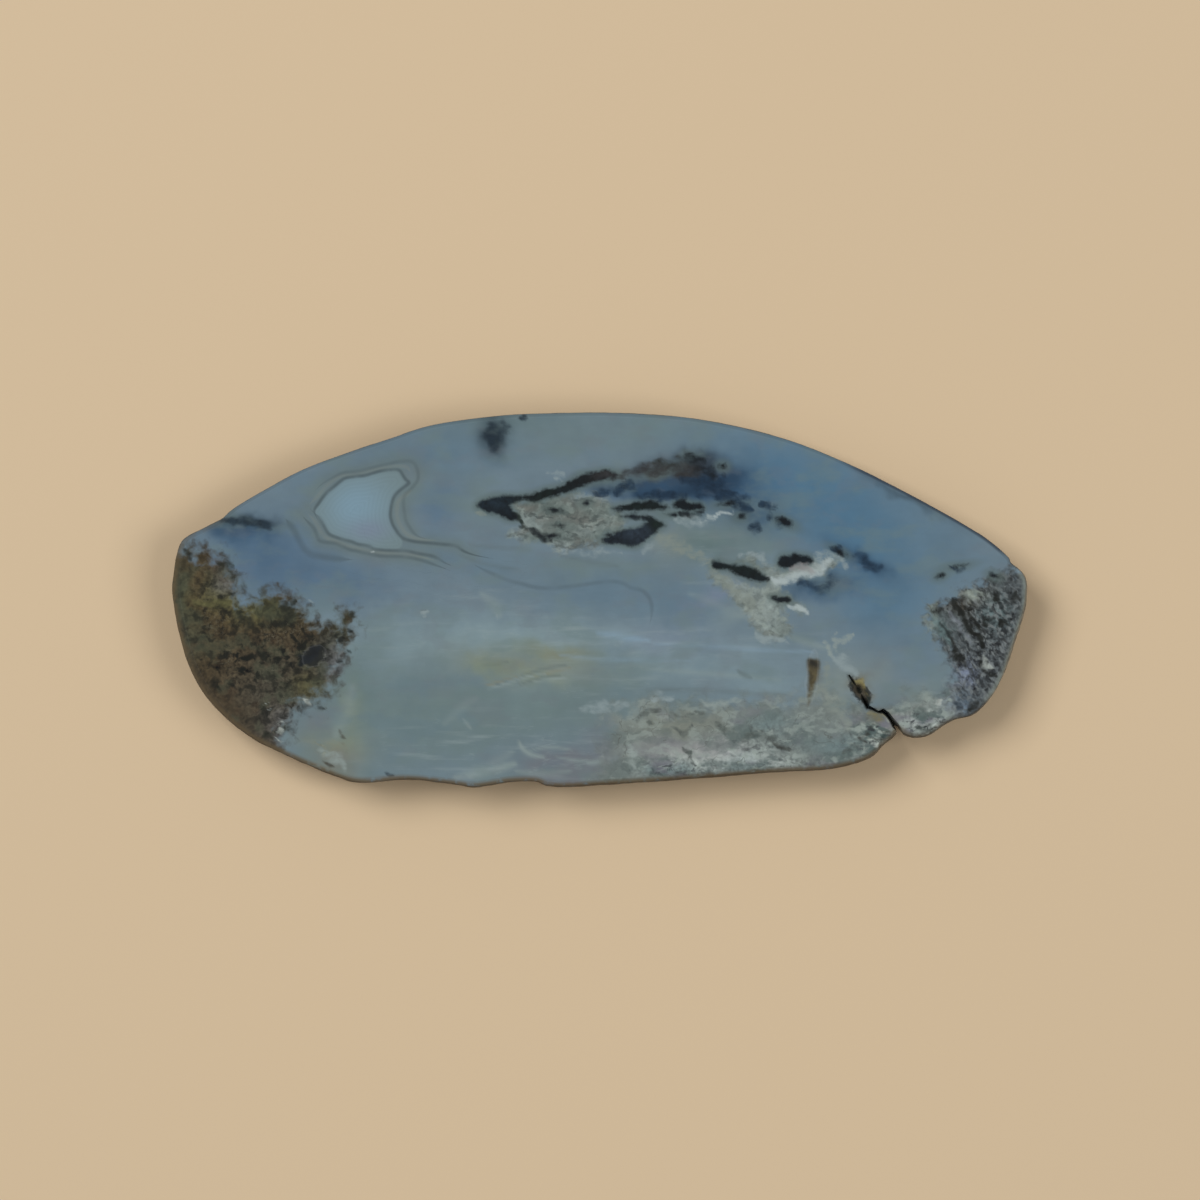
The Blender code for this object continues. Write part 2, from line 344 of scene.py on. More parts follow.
def slice_body():
    """The closed slice: face grid, rind rings, and a grid of half as many cells under it."""
    rings = rind_rings(slice_outline())
    face = face_grid(rings[0], FACE_COLUMNS, FACE_ROWS)
    face_numbers = np.arange(face.shape[0] * face.shape[1]).reshape(face.shape[:2])
    points = [face.reshape(-1, 3)]
    faces = grid_quads(face_numbers).tolist()
    upper = grid_ring(face_numbers)
    count = len(upper)
    start = face_numbers.size
    for ring in rings[1:]:
        points.append(ring)
        lower = start + np.arange(count)
        faces += np.stack([upper, np.roll(upper, -1), np.roll(lower, -1), lower], axis=1).tolist()
        upper = lower
        start += count
    heel = rings[-1]
    inner = heel[::2].copy()
    inner[:, :2] -= outward_normals(heel[::2, :2]) * 2 * HEEL_INSET
    under = face_grid(inner, FACE_COLUMNS // 2, FACE_ROWS // 2)
    under_numbers = start + np.arange(under.shape[0] * under.shape[1]).reshape(under.shape[:2])
    points.append(under.reshape(-1, 3))
    faces += grid_quads(under_numbers)[:, ::-1].tolist()
    inside = grid_ring(under_numbers)
    first, middle, last = upper[::2], upper[1::2], np.roll(upper[::2], -1)
    after = np.roll(inside, -1)
    for triangle in ((first, middle, inside), (middle, after, inside), (middle, last, after)):
        faces += np.stack(triangle, axis=1).tolist()
    points = np.vstack(points)
    points[:, 2] -= hollow_depth(points)
    return new_mesh("agate", points, faces)


def fissure_cutter():
    """A wedge with its edge at each station's depth, as a V profile carried along the fissure."""
    plan = on_plan([place for place, _, _ in FISSURE])
    width, depth = np.array([(width, depth) for _, width, depth in FISSURE]).T
    along = np.gradient(plan, axis=0)
    along /= np.linalg.norm(along, axis=1, keepdims=True)
    reach = (width / 2 * (depth + CUTTER_CLEAR) / depth)[:, None]
    across = np.stack([-along[:, 1], along[:, 0]], axis=1) * reach
    top = np.full(len(plan), THICKNESS + CUTTER_CLEAR)
    left = np.column_stack([plan + across, top])
    right = np.column_stack([plan - across, top])
    keel = np.column_stack([plan, THICKNESS - depth])
    points = np.stack([left, keel, right], axis=1).reshape(-1, 3)
    near = 3 * np.arange(len(plan) - 1)[:, None]
    faces = []
    for a, b in ((0, 1), (1, 2), (2, 0)):
        faces += (near + np.array([[a, a + 3, b + 3, b]])).tolist()
    last = 3 * (len(plan) - 1)
    faces += [[0, 1, 2], [last + 2, last + 1, last]]
    return new_mesh("fissure cutter", points, faces)


def cut_fissure(body):
    """The body less the fissure, as a plain mesh object."""
    cutter = fissure_cutter()
    cut = body.modifiers.new("fissure", "BOOLEAN")
    cut.operation = "DIFFERENCE"
    cut.solver = "EXACT"
    cut.object = cutter
    evaluated = body.evaluated_get(bpy.context.evaluated_depsgraph_get())
    mesh = bpy.data.meshes.new_from_object(evaluated)
    body.modifiers.clear()
    body.data = mesh
    bpy.data.objects.remove(cutter)
    return body


agate = cut_fissure(slice_body())
agate.data.shade_smooth()
agate.data.set_sharp_from_angle(angle=math.radians(SHARP_ANGLE))
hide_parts(AGATE)
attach(agate, "root")


# The blue chalcedony that the slice is mostly made of. It is a cloudy body whose tint drifts from dusk
# blue on the left and at the upper right to a milky grey band across the middle and a greener grey
# below. The milky band is painted reflection: a bright sky mirrored in the polish, laid into the colour.
# Each wash lays one tint over the others in a soft ellipse, and fine milky streaks run through.

UNIT_MM = UNIT * 1000
DEPTH_DRIFT = 14.0
DRIFT_SIZE = 0.012
DRIFT_SEEDS = (11, 12)
# Size, push and seed
WARPS = ((0.0016, 5.0, 21), (0.0007, 2.6, 31), (0.00045, 1.4, 41))

DUSK = (78, 104, 127)
STEEL = (90, 115, 131)
HAZE = (106, 124, 134)
MILKY_PAINTED_REFLECTION = (125, 145, 151)
SEA = (104, 122, 121)
SAGE = (126, 135, 127)
FAWN = (122, 133, 115)
SAND = (124, 122, 102)
CLOUD = (134, 148, 146)
ICE = (128, 152, 168)
BAND_GREY = (88, 100, 100)
FROST = (138, 150, 146)
LILAC = (117, 127, 147)
DOVE = (106, 112, 118)
TEAL = (92, 112, 112)
SLATE = (28, 42, 52)
NAVY = (20, 40, 58)
TIDE = (74, 111, 136)
DEEP = (52, 84, 112)
MAUVE = (42, 42, 42)

# Tint, middle, reach, turn in degrees and strength
WASHES = (
    (SEA, (560, 430), (170, 26), 0, 0.55),
    (HAZE, (615, 428), (40, 14), 0, 0.5),
    (TEAL, (500, 420), (60, 10), 0, 0.5),
    (SEA, (650, 428), (60, 12), 4, 0.4),
    (STEEL, (330, 480), (90, 30), 25, 0.3),
    (DUSK, (262, 560), (62, 40), 0, 0.95),
    (DUSK, (330, 580), (70, 26), -8, 0.75),
    (STEEL, (450, 452), (70, 30), 0, 0.7),
    (DUSK, (438, 508), (22, 28), 0, 0.6),
    (STEEL, (470, 560), (70, 22), -8, 0.4),
    (TIDE, (810, 490), (110, 46), -22, 0.95),
    (TIDE, (860, 545), (70, 46), -20, 0.8),
    (STEEL, (948, 545), (60, 30), -28, 0.6),
    (TIDE, (884, 605), (46, 40), 0, 0.7),
    (STEEL, (912, 650), (30, 30), 0, 0.6),
    (STEEL, (600, 592), (70, 26), 0, 0.6),
    (STEEL, (690, 606), (50, 24), 0, 0.75),
    # Painted reflection: the milky band across the middle, a bright sky mirrored in the polish
    (MILKY_PAINTED_REFLECTION, (400, 645), (75, 34), 0, 0.55),
    (MILKY_PAINTED_REFLECTION, (520, 639), (120, 20), 0, 1.0),
    (MILKY_PAINTED_REFLECTION, (700, 662), (90, 26), 0, 0.6),
    (MILKY_PAINTED_REFLECTION, (625, 636), (34, 7), -2, 0.5),
    (LILAC, (664, 640), (50, 16), 0, 0.35),
    (SEA, (410, 715), (130, 56), 0, 0.85),
    (SEA, (560, 705), (110, 34), 0, 0.75),
    (SEA, (600, 672), (40, 18), 0, 0.6),
    (SAGE, (530, 664), (66, 14), -6, 0.9),
    (FAWN, (502, 668), (36, 11), -12, 1.1),
    (SAND, (508, 664), (22, 7), -8, 0.5),
    (FAWN, (548, 652), (44, 10), -6, 0.8),
    (SAND, (556, 653), (30, 6), -6, 0.35),
    (FAWN, (540, 676), (40, 6), -12, 0.5),
    (DOVE, (572, 768), (44, 18), 0, 1.6),
    (DOVE, (598, 740), (16, 30), 0, 0.5),
    (HAZE, (880, 680), (60, 44), 0, 0.75),
    (SAGE, (872, 676), (22, 20), 0, 0.5),
    (SAGE, (920, 702), (26, 16), 0, 0.6),
    (SAGE, (838, 684), (18, 30), 0, 0.6),
    (SEA, (742, 540), (46, 26), 0, 0.7),
    (LILAC, (716, 598), (34, 10), 28, 0.55),
    (CLOUD, (738, 612), (26, 9), 32, 0.45),
    (SAGE, (676, 548), (26, 14), 20, 0.5),
    (TEAL, (354, 690), (18, 34), 0, 0.7),
    (FAWN, (334, 752), (30, 26), 0, 0.9),
    (SAND, (330, 760), (26, 20), 0, 0.75),
    (FAWN, (350, 712), (11, 34), 0, 0.6),
    (DOVE, (320, 722), (16, 16), 0, 0.6),
    (SEA, (430, 476), (20, 12), 0, 0.4),
    (SEA, (480, 500), (20, 24), 0, 0.5),
    (DEEP, (248, 534), (30, 12), 0, 0.8),
    (DEEP, (655, 489), (66, 12), 0, 1.2),
    (DEEP, (715, 484), (50, 24), 0, 1.1),
    (NAVY, (712, 482), (32, 14), 6, 0.85),
    (NAVY, (622, 490), (34, 7), -6, 0.7),
    (NAVY, (680, 492), (34, 6), 2, 0.6),
    (NAVY, (752, 511), (26, 14), 10, 0.45),
    (DEEP, (765, 512), (34, 18), -24, 0.6),
    (DEEP, (824, 587), (40, 13), 4, 0.95),
    (NAVY, (818, 584), (30, 8), 4, 0.6),
    (DEEP, (860, 560), (34, 11), -28, 0.8),
    (NAVY, (866, 561), (26, 6), -28, 0.6),
    (MAUVE, (652, 474), (46, 9), 6, 0.95),
    (MAUVE, (690, 465), (28, 12), 6, 0.9),
    (SLATE, (694, 460), (20, 6), 6, 0.8),
    (SLATE, (908, 497), (48, 5), -29, 0.5),
    (SLATE, (493, 436), (12, 18), 6, 1.35),
    (SLATE, (248, 525), (28, 8), 4, 1.6),
    (DEEP, (240, 531), (26, 6), 0, 0.7),
    (MILKY_PAINTED_REFLECTION, (772, 688), (34, 16), 0, 0.6),
    (SAGE, (668, 538), (20, 10), 20, 0.4),
    (TEAL, (706, 542), (26, 14), 0, 0.5),
    (SEA, (600, 566), (60, 12), 0, 0.5),
    (DOVE, (336, 762), (22, 12), 0, 0.5),
    (TEAL, (700, 545), (30, 18), 0, 0.5),
)
# Where fine milky streaks run through it: middle, reach, turn and strength
MILKY_STREAKS = (
    ((560, 640), (230, 26), 0, 0.35),
    ((640, 690), (130, 22), 0, 0.3),
    ((520, 750), (130, 34), 0, 0.5),
    ((480, 600), (90, 20), 0, 0.2),
    ((700, 560), (60, 30), -30, 0.3),
)

# Streak: tint, reach, strength and the line that it follows
STREAKS = (
    (FAWN, 5, 0.7, ((476, 668), (494, 665), (512, 663))),
    (BAND_GREY, 2.6, 0.6, ((482, 665), (496, 664), (508, 662))),
    (BAND_GREY, 2.4, 0.5, ((496, 685), (516, 679), (540, 670), (566, 665))),
    (BAND_GREY, 2.4, 0.45, ((520, 684), (540, 678), (560, 675))),
    (CLOUD, 1.8, 0.6, ((488, 689), (502, 685), (520, 679))),
    (CLOUD, 1.8, 0.7, ((500, 685), (520, 678), (546, 674))),
    (CLOUD, 1.8, 0.6, ((534, 681), (550, 679), (566, 677))),
    (SAND, 1.8, 0.6, ((486, 686), (502, 681), (520, 676))),
    (SAND, 1.8, 0.5, ((534, 677), (552, 672), (570, 668))),
    (CLOUD, 5, 0.25, ((444, 724), (456, 713), (466, 704), (476, 698))),
    (CLOUD, 1.8, 0.5, ((464, 720), (468, 725), (471, 729))),
    (CLOUD, 2.6, 0.8, ((519, 742), (523, 749), (532, 755), (544, 757))),
    (CLOUD, 2, 0.5, ((530, 750), (550, 747), (572, 750))),
    (CLOUD, 2, 0.5, ((556, 757), (580, 761), (606, 762))),
    (CLOUD, 6, 0.75, ((456, 778), (470, 776), (490, 771), (514, 764))),
    (CLOUD, 5, 0.3, ((484, 768), (500, 760), (512, 752))),
    (CLOUD, 4, 0.7, ((588, 763), (604, 762), (618, 765))),
    (CLOUD, 4, 0.5, ((516, 771), (540, 774), (570, 771))),
    (CLOUD, 8, 0.4, ((336, 735), (347, 712), (352, 688))),
    (CLOUD, 5, 0.25, ((690, 594), (706, 600), (724, 608), (746, 618))),
    (CLOUD, 4, 0.5, ((788, 636), (806, 642), (826, 648))),
    (ICE, 4, 0.8, ((598, 634), (622, 637), (650, 641))),
    (ICE, 2.4, 0.45, ((650, 643), (700, 646), (760, 650), (812, 652))),
    (ICE, 2.4, 0.35, ((560, 655), (600, 659), (650, 661), (690, 660))),
    (CLOUD, 3, 0.35, ((640, 668), (690, 672), (740, 676), (780, 680))),
    (BAND_GREY, 3, 0.35, ((648, 690), (700, 690), (760, 694), (790, 694))),
    (BAND_GREY, 2.4, 0.3, ((462, 556), (480, 563), (500, 567), (520, 570))),
    (BAND_GREY, 3, 0.3, ((560, 556), (590, 562), (618, 566))),
    (CLOUD, 6, 0.4, ((482, 594), (494, 604), (500, 616))),
    (BAND_GREY, 3, 0.6, ((738, 671), (744, 675), (751, 678))),
    (BAND_GREY, 2.4, 0.3, ((470, 545), (500, 548), (530, 549))),
    (SLATE, 3, 0.35, ((495, 664), (502, 663), (508, 662))),
)


def linear(tint):
    """An sRGB tint of 0 to 255 as linear light: ((c + 0.055) / 1.055) to the power 2.4."""
    return ((np.asarray(tint, float) / 255 + 0.055) / 1.055) ** 2.4


def washed(colours, places, washes):
    """Colours with each wash mixed in by strength * exp(-r²), up to 1, of its ellipse's radius r."""
    for tint, middle, reach, turn, strength in washes:
        share = strength * np.exp(-ellipse_radius(places, middle, reach, turn) ** 2)
        share = np.minimum(share, 1)
        colours = colours + share[:, None] * (linear(tint) - colours)
    return colours


def strongest(ellipses, places):
    """The greatest strength * exp(-r²) among some ellipses at each place."""
    shares = [
        strength * np.exp(-ellipse_radius(places, middle, reach, turn) ** 2)
        for middle, reach, turn, strength in ellipses
    ]
    return np.max(shares, axis=0)


def sketch_places(points):
    """Where points lie in the sketch. The markings drift sideways with depth under the face."""
    places = points[:, :2] / (UNIT, -UNIT) + SKETCH_MIDDLE
    under = np.clip(1 - points[:, 2:] / THICKNESS, 0, 1)
    flat = points * (1, 1, 0)
    drift = [lattice_noise(flat, DRIFT_SIZE, seed) for seed in DRIFT_SEEDS]
    return places + DEPTH_DRIFT * under * np.stack(drift, axis=1)


def warped(places, points):
    """Places pushed about by noise of a few sizes, so that what is laid on them has uneven edges."""
    for size, push, seed in WARPS:
        shift = [lattice_noise(points, size, seed + axis) for axis in (0, 1)]
        places = places + push * np.stack(shift, axis=1)
    return places


def give(mesh, name, values):
    """Stores values at a mesh's points as an attribute: floats, vectors or colours."""
    kinds = {1: ("FLOAT", "value"), 3: ("FLOAT_VECTOR", "vector"), 4: ("FLOAT_COLOR", "color")}
    kind, key = kinds[1 if values.ndim == 1 else values.shape[1]]
    layer = mesh.attributes.new(name, kind, "POINT")
    layer.data.foreach_set(key, np.ascontiguousarray(values, np.float32).ravel())


def give_colour(mesh, name, colours):
    """Stores linear colours at a mesh's points, each with 1 as its fourth value."""
    give(mesh, name, np.column_stack([colours, np.ones(len(colours))]))


points = np.empty(3 * len(agate.data.vertices))
agate.data.vertices.foreach_get("co", points)
points = points.reshape(-1, 3)
places = sketch_places(points)
uneven = warped(places, points)
body = washed(np.tile(linear(HAZE), (len(places), 1)), uneven, WASHES)
give(agate.data, "milk", strongest(MILKY_STREAKS, places))


# The eye and its bands. The agate's last fill is a pale angular eye with thin dark growth lines round
# it, which run on to the right as faint wavy bands. Each line is stored as the distance across it, in
# half widths, so that it stays thin and crisp between the mesh's points.

EYE = (
    (314.5, 512), (319.5, 504), (324, 496.5), (328, 492), (334, 487), (341, 481), (347, 478.5),
    (356, 477), (366, 476), (379, 472), (388, 470.5), (398.5, 470.5), (402, 474.5), (405.5, 479.5),
    (408, 483), (403, 487.5), (397, 493), (393, 498), (391.5, 504), (390, 511), (390, 517.5),
    (392, 524.5), (396, 530.5), (399.5, 536), (402, 541), (400, 548), (388, 549.5), (380, 549),
    (373, 547.5), (365, 544), (358, 543.5), (351, 540.5), (344, 539), (337, 536.5), (330, 533.5),
    (326.5, 530), (323.5, 524), (319, 518),
)
EYE_RIM = (110, 128, 131)
EYE_CORE = (117, 140, 150)
EYE_GLOW = (120, 147, 162)
EYE_TINTS = (
    (EYE_CORE, (362, 508), (36, 34), 0, 1.0),
    (EYE_GLOW, (354, 506), (20, 24), -70, 0.95),
    (LILAC, (369, 530), (20, 10), 0, 0.6),
)
# A soft grey halo along some of the lines below, up to their last points
HALO_TINT = (100, 114, 112)
HALO_REACH = 8.0
HALO_SHARE = 0.6
HALO_LINES = (0, 1, 2, 4)
HALO_SHORT = 2
# Line and half width in mm. The first three are the darkest.
BAND_LINES = (
    (
        (322, 526), (317.5, 519), (314.6, 513), (315, 508.6), (319, 503), (323.5, 496.7),
        (327.6, 492.2), (333.8, 487), (341, 481), (346.4, 478), (356, 476.5), (365.3, 475.5),
        (378.7, 471.5), (387.7, 470.2), (398.5, 470.2), (402, 474.2), (405.6, 479.6), (409, 482.8),
        (403.8, 487), (396.7, 493), (393.5, 497.6), (391.6, 503.8), (390.4, 511), (390.4, 517.3),
        (392.6, 524.5), (395.8, 530), (399.4, 535.3), (403.8, 538.8), (410, 540.6), (418.5, 542),
        (440, 544), (456, 546), (463, 550.8), (472.7, 554.6), (486, 557.5), (498, 559.5),
    ), 0.24,
), (
    (
        (308, 507), (316, 514.5), (319.5, 518.2), (323.5, 524.5), (326.7, 530.8), (330.3, 534.8),
        (337.4, 537.5), (344.6, 539.7), (351.8, 541.5), (358, 544), (365.3, 544.9), (370.6, 546.5),
        (373.8, 548.7), (380.5, 549.8), (396.7, 550.7), (405.4, 550.8), (418.8, 553.7), (434, 556.5),
        (445.8, 563.3), (455, 567),
    ), 0.24,
), (
    (
        (300.6, 514), (307, 521), (313.7, 528), (317, 536), (319.5, 540.6), (326.7, 542.4),
        (335.6, 543.3), (342.8, 546.5), (350, 549.6), (356.3, 550.8), (362.6, 552.3), (371.5, 554.1),
        (383, 556), (401.5, 556.5), (418.8, 559.4), (438, 566), (453.5, 572),
    ), 0.26,
), (
    (
        (284, 517), (290.8, 525.4), (294.4, 530.8), (297, 536.2), (299.3, 540.6), (302.4, 546),
        (307, 551.4), (314, 555), (336, 558.5), (356, 560),
    ), 0.45,
), (
    (
        (312, 494), (322, 484), (336, 476), (344.6, 472.6), (357, 471.5), (368, 469), (379, 466),
        (388, 464), (400, 461.5), (411, 461.5), (416.5, 467), (418, 479), (411, 489), (405.5, 494),
        (403.4, 500), (403.8, 507.4), (404.6, 513), (406, 521), (409.6, 527.2), (413.7, 533),
        (421, 537.5), (434, 540),
    ), 0.24,
), (
    (
        (470, 562), (482.3, 569), (497.7, 575.8), (509.2, 580.6), (520.8, 583.5), (536, 587.3),
        (555, 588), (580, 585), (607.3, 581.5), (620.8, 582.5), (630.4, 587.3), (642, 590.5),
        (648.7, 597), (651.5, 604.6), (651.5, 616), (649, 628),
    ), 0.28,
)
# Pale lines that lie between the dark ones
PALE_LINES = (
    (
        (414, 488), (406, 494.5), (398.5, 501), (397, 511), (398, 520), (402, 528), (408, 535),
        (420, 539.4), (440, 541),
    ), 0.30,
), (
    (
        (306, 512), (314, 520), (320, 530), (325, 537), (334, 540.5), (346, 545), (357, 548),
        (370, 551), (384, 553), (402, 553.6), (420, 556.6), (440, 562),
    ), 0.28,
), (
    (
        (308, 506), (317, 497), (327, 485.5), (340, 476.4), (356, 474.2), (378, 469), (396, 466),
        (407, 467.4), (411, 474),
    ), 0.26,
)
LINE_STEPS = 6
SHAPE_STEPS = 3
DAB_STEPS = 3
LINE_TAPER = 0.12
LEAST_WIDTH = 1e-3
FAR = 30.0


def side_distance(line, places, reach=30.0):
    """Distance from places to an open line, positive on its left, and the share along it, 0 to 1."""
    line = np.asarray(line, float)
    across = np.full(len(places), reach)
    share = np.zeros(len(places))
    near = np.all((places > line.min(0) - reach) & (places < line.max(0) + reach), axis=1)
    x, y = places[near].T
    least = np.full(len(x), reach)
    signed = np.full(len(x), reach)
    along = np.zeros(len(x))
    for number, ((ax, ay), (bx, by)) in enumerate(zip(line[:-1], line[1:])):
        dx, dy = bx - ax, by - ay
        t = np.clip(((x - ax) * dx + (y - ay) * dy) / (dx * dx + dy * dy), 0, 1)
        distance = np.hypot(x - ax - t * dx, y - ay - t * dy)
        closer = distance < least
        least[closer] = distance[closer]
        turned = np.sign((x - ax) * dy - (y - ay) * dx)
        signed[closer] = (distance * turned)[closer]
        along[closer] = (number + t[closer]) / (len(line) - 1)
    across[near] = signed
    share[near] = along
    return across, share


def line_width_distance(points, half_width, places):
    """Distance across a tapered line, in its half widths."""
    across, share = side_distance(curve_through(points, LINE_STEPS), places)
    taper = np.minimum(smooth_step(share, 0, LINE_TAPER), smooth_step(1 - share, 0, LINE_TAPER))
    width = np.maximum(half_width / UNIT_MM * taper, LEAST_WIDTH)
    return np.clip(across / width, -FAR, FAR)


def dab_strength(dabs, places):
    """Strength and tint of some dabs.

    Each is strength * exp(-(distance / r)²), with r = reach * (0.5 + 0.5 sin(pi * share along)), and
    the tint is their mean.
    """
    most = np.zeros(len(places))
    total = np.full(len(places), 1e-9)
    tints = np.zeros((len(places), 3))
    for tint, reach, strength, line in dabs:
        smooth = curve_through(line, DAB_STEPS) if len(line) > 2 else line
        across, along = side_distance(smooth, places)
        narrowed = reach * (0.5 + 0.5 * np.sin(np.pi * along))
        share = strength * np.exp(-((across / narrowed) ** 2))
        most = np.maximum(most, share)
        total += share**3
        tints += (share**3)[:, None] * linear(tint)
    return most, tints / total[:, None]


def depth_inside(outline, places, reach=40.0):
    """Distance from places to a closed outline, positive inside, in mm.

    A place is inside if a ray to its right crosses the outline an odd number of times.
    """
    depth = np.full(len(places), -reach)
    near = np.all((places > outline.min(0) - reach) & (places < outline.max(0) + reach), axis=1)
    x, y = places[near].T
    least = np.full(len(x), reach)
    inside = np.zeros(len(x), bool)
    for (ax, ay), (bx, by) in zip(outline, np.roll(outline, -1, axis=0)):
        dx, dy = bx - ax, by - ay
        t = np.clip(((x - ax) * dx + (y - ay) * dy) / (dx * dx + dy * dy), 0, 1)
        least = np.minimum(least, np.hypot(x - ax - t * dx, y - ay - t * dy))
        inside ^= ((ay > y) != (by > y)) & (x < ax + (y - ay) * dx / (dy or 1))
    depth[near] = np.where(inside, least, -least)
    return depth * UNIT_MM


def shape_depth(shapes, places, steps=SHAPE_STEPS):
    """Depth inside any of several closed outlines, each drawn as a smooth curve, in mm."""
    curves = [curve_through(shape, steps, closed=True) for shape in shapes]
    return np.max([depth_inside(curve, places) for curve in curves], axis=0)


def speck_depth(specks, places):
    """Depth inside any of several small ellipses: (1 - r) times the smaller half length, in mm."""
    depths = [
        (1 - ellipse_radius(places, middle, reach, turn)) * min(reach) * UNIT_MM
        for middle, reach, turn in specks
    ]
    return np.max(depths, axis=0)


halo = np.zeros(len(places))
for number in HALO_LINES:
    line = BAND_LINES[number][0][:-HALO_SHORT]
    across, _ = side_distance(curve_through(line, LINE_STEPS), places)
    halo = np.maximum(halo, HALO_SHARE * np.exp(-((across / HALO_REACH) ** 2)))
body += halo[:, None] * (linear(HALO_TINT) - body)
streak, streak_tint = dab_strength(STREAKS, places)
body += streak[:, None] * (streak_tint - body)
eye_rim = np.tile(linear(EYE_RIM), (len(places), 1))
give(agate.data, "eye", shape_depth([EYE], places))
give_colour(agate.data, "eye_tint", washed(eye_rim, places, EYE_TINTS))
lines = [line_width_distance(line, width, places) for line, width in BAND_LINES]
give(agate.data, "bands_inner", np.stack(lines[:3], axis=1))
give(agate.data, "bands_outer", np.stack(lines[3:], axis=1))
pale = [line_width_distance(line, width, places) for line, width in PALE_LINES]
give(agate.data, "bands_pale", np.stack(pale, axis=1))


# The dark dendrites: thin blades of manganese oxide that the polish cuts through. They are crisp and
# nearly black with a green cast. Softer dabs of the same oxide lie under the face round them.

INK = (8, 16, 22)
BOTTLE = (12, 24, 18)
BRUISE = (34, 44, 54)
SOOT = (30, 32, 24)
PEAT = (18, 20, 15)
OCHRE = (120, 112, 72)
BLADES = (
    (
        (477, 505), (485, 499.3), (498.3, 495.7), (523, 495.5), (534.6, 493.2), (546, 488.8),
        (561.4, 485.5), (572.9, 479.2), (582.4, 473.8), (593.9, 472.5), (605.4, 470), (618.8, 474.4),
        (607.3, 479), (593.9, 482.5), (582.4, 486.5), (567, 492.5), (551.8, 497), (536.5, 501),
        (523.1, 500.8), (513.6, 502.6), (510.5, 507), (515.5, 514), (517.4, 520), (507.8, 519.4),
        (498.3, 514.6), (486.8, 512.3), (479, 509),
    ), (
        (611, 508.2), (622.6, 505), (640, 502), (651.3, 501.2), (667.6, 506), (666.6, 509.2),
        (651.3, 510.4), (632.2, 510.4), (613, 511),
    ), (
        (672.4, 505), (681.9, 499.3), (689.6, 503.1), (699.1, 504.1), (704.9, 507.9), (697.2, 510),
        (683.8, 510),
    ), (
        (620.7, 516.5), (632.2, 514.6), (645.6, 515.6), (657, 520), (665, 524.5), (659, 530),
        (651.3, 536), (643.7, 541.4), (636, 546.5), (622.6, 544.8), (601.6, 541.6), (607.3, 536.6),
        (620.7, 531.6), (632.2, 527.8), (641.7, 525.8), (648, 522.5), (640, 519), (628.4, 518),
    ), (
        (711, 563.5), (718, 560.5), (728, 564), (740, 564.5), (750, 566), (760, 572), (769, 579),
        (763, 582), (750, 580), (737, 575), (727, 570), (714, 568.5),
    ), (
        (781, 556), (794, 554.5), (806, 555.5), (813, 559.5), (808, 564.5), (797, 563.5),
        (790, 567), (785, 569), (778, 565),
    ), (
        (771, 597.5), (779, 596), (788, 597.5), (791, 601), (783, 602.5), (775, 600.5),
    ),
)
# Flecks: middle, half lengths and turn
FLECKS = (
    ((555, 510), (7, 2.4), 0), ((586, 503.5), (4, 2.6), 10), ((550, 536), (7, 2.2), 4),
    ((560, 525.5), (6, 1.8), 0), ((785, 522), (8, 3.4), -24), ((728, 504), (7, 2), 6),
    ((741, 516), (4, 2.6), 20), ((723, 466), (4, 3), 0), ((676, 514.5), (8, 1.6), 0),
    ((608, 535), (6, 2.4), 10), ((957, 566.5), (5, 1.2), 10), ((941, 575.5), (3.6, 2.4), 24),
    ((994, 575.5), (4, 2.4), -20), ((839, 552), (6, 2.4), -28),
)
BLADE_WASHES = (
    (BRUISE, (636, 534), (24, 11), 14, 0.95),
    (BOTTLE, (658, 524), (10, 7), 0, 0.9),
    (SLATE, (494, 505), (22, 8), 0, 0.5),
    (BOTTLE, (545, 492), (30, 8), 16, 0.6),
    (MAUVE, (604, 475), (18, 8), 10, 0.8),
    (BOTTLE, (640, 506), (30, 6), 0, 0.6),
    (BOTTLE, (745, 571), (30, 10), 0, 0.5),
)
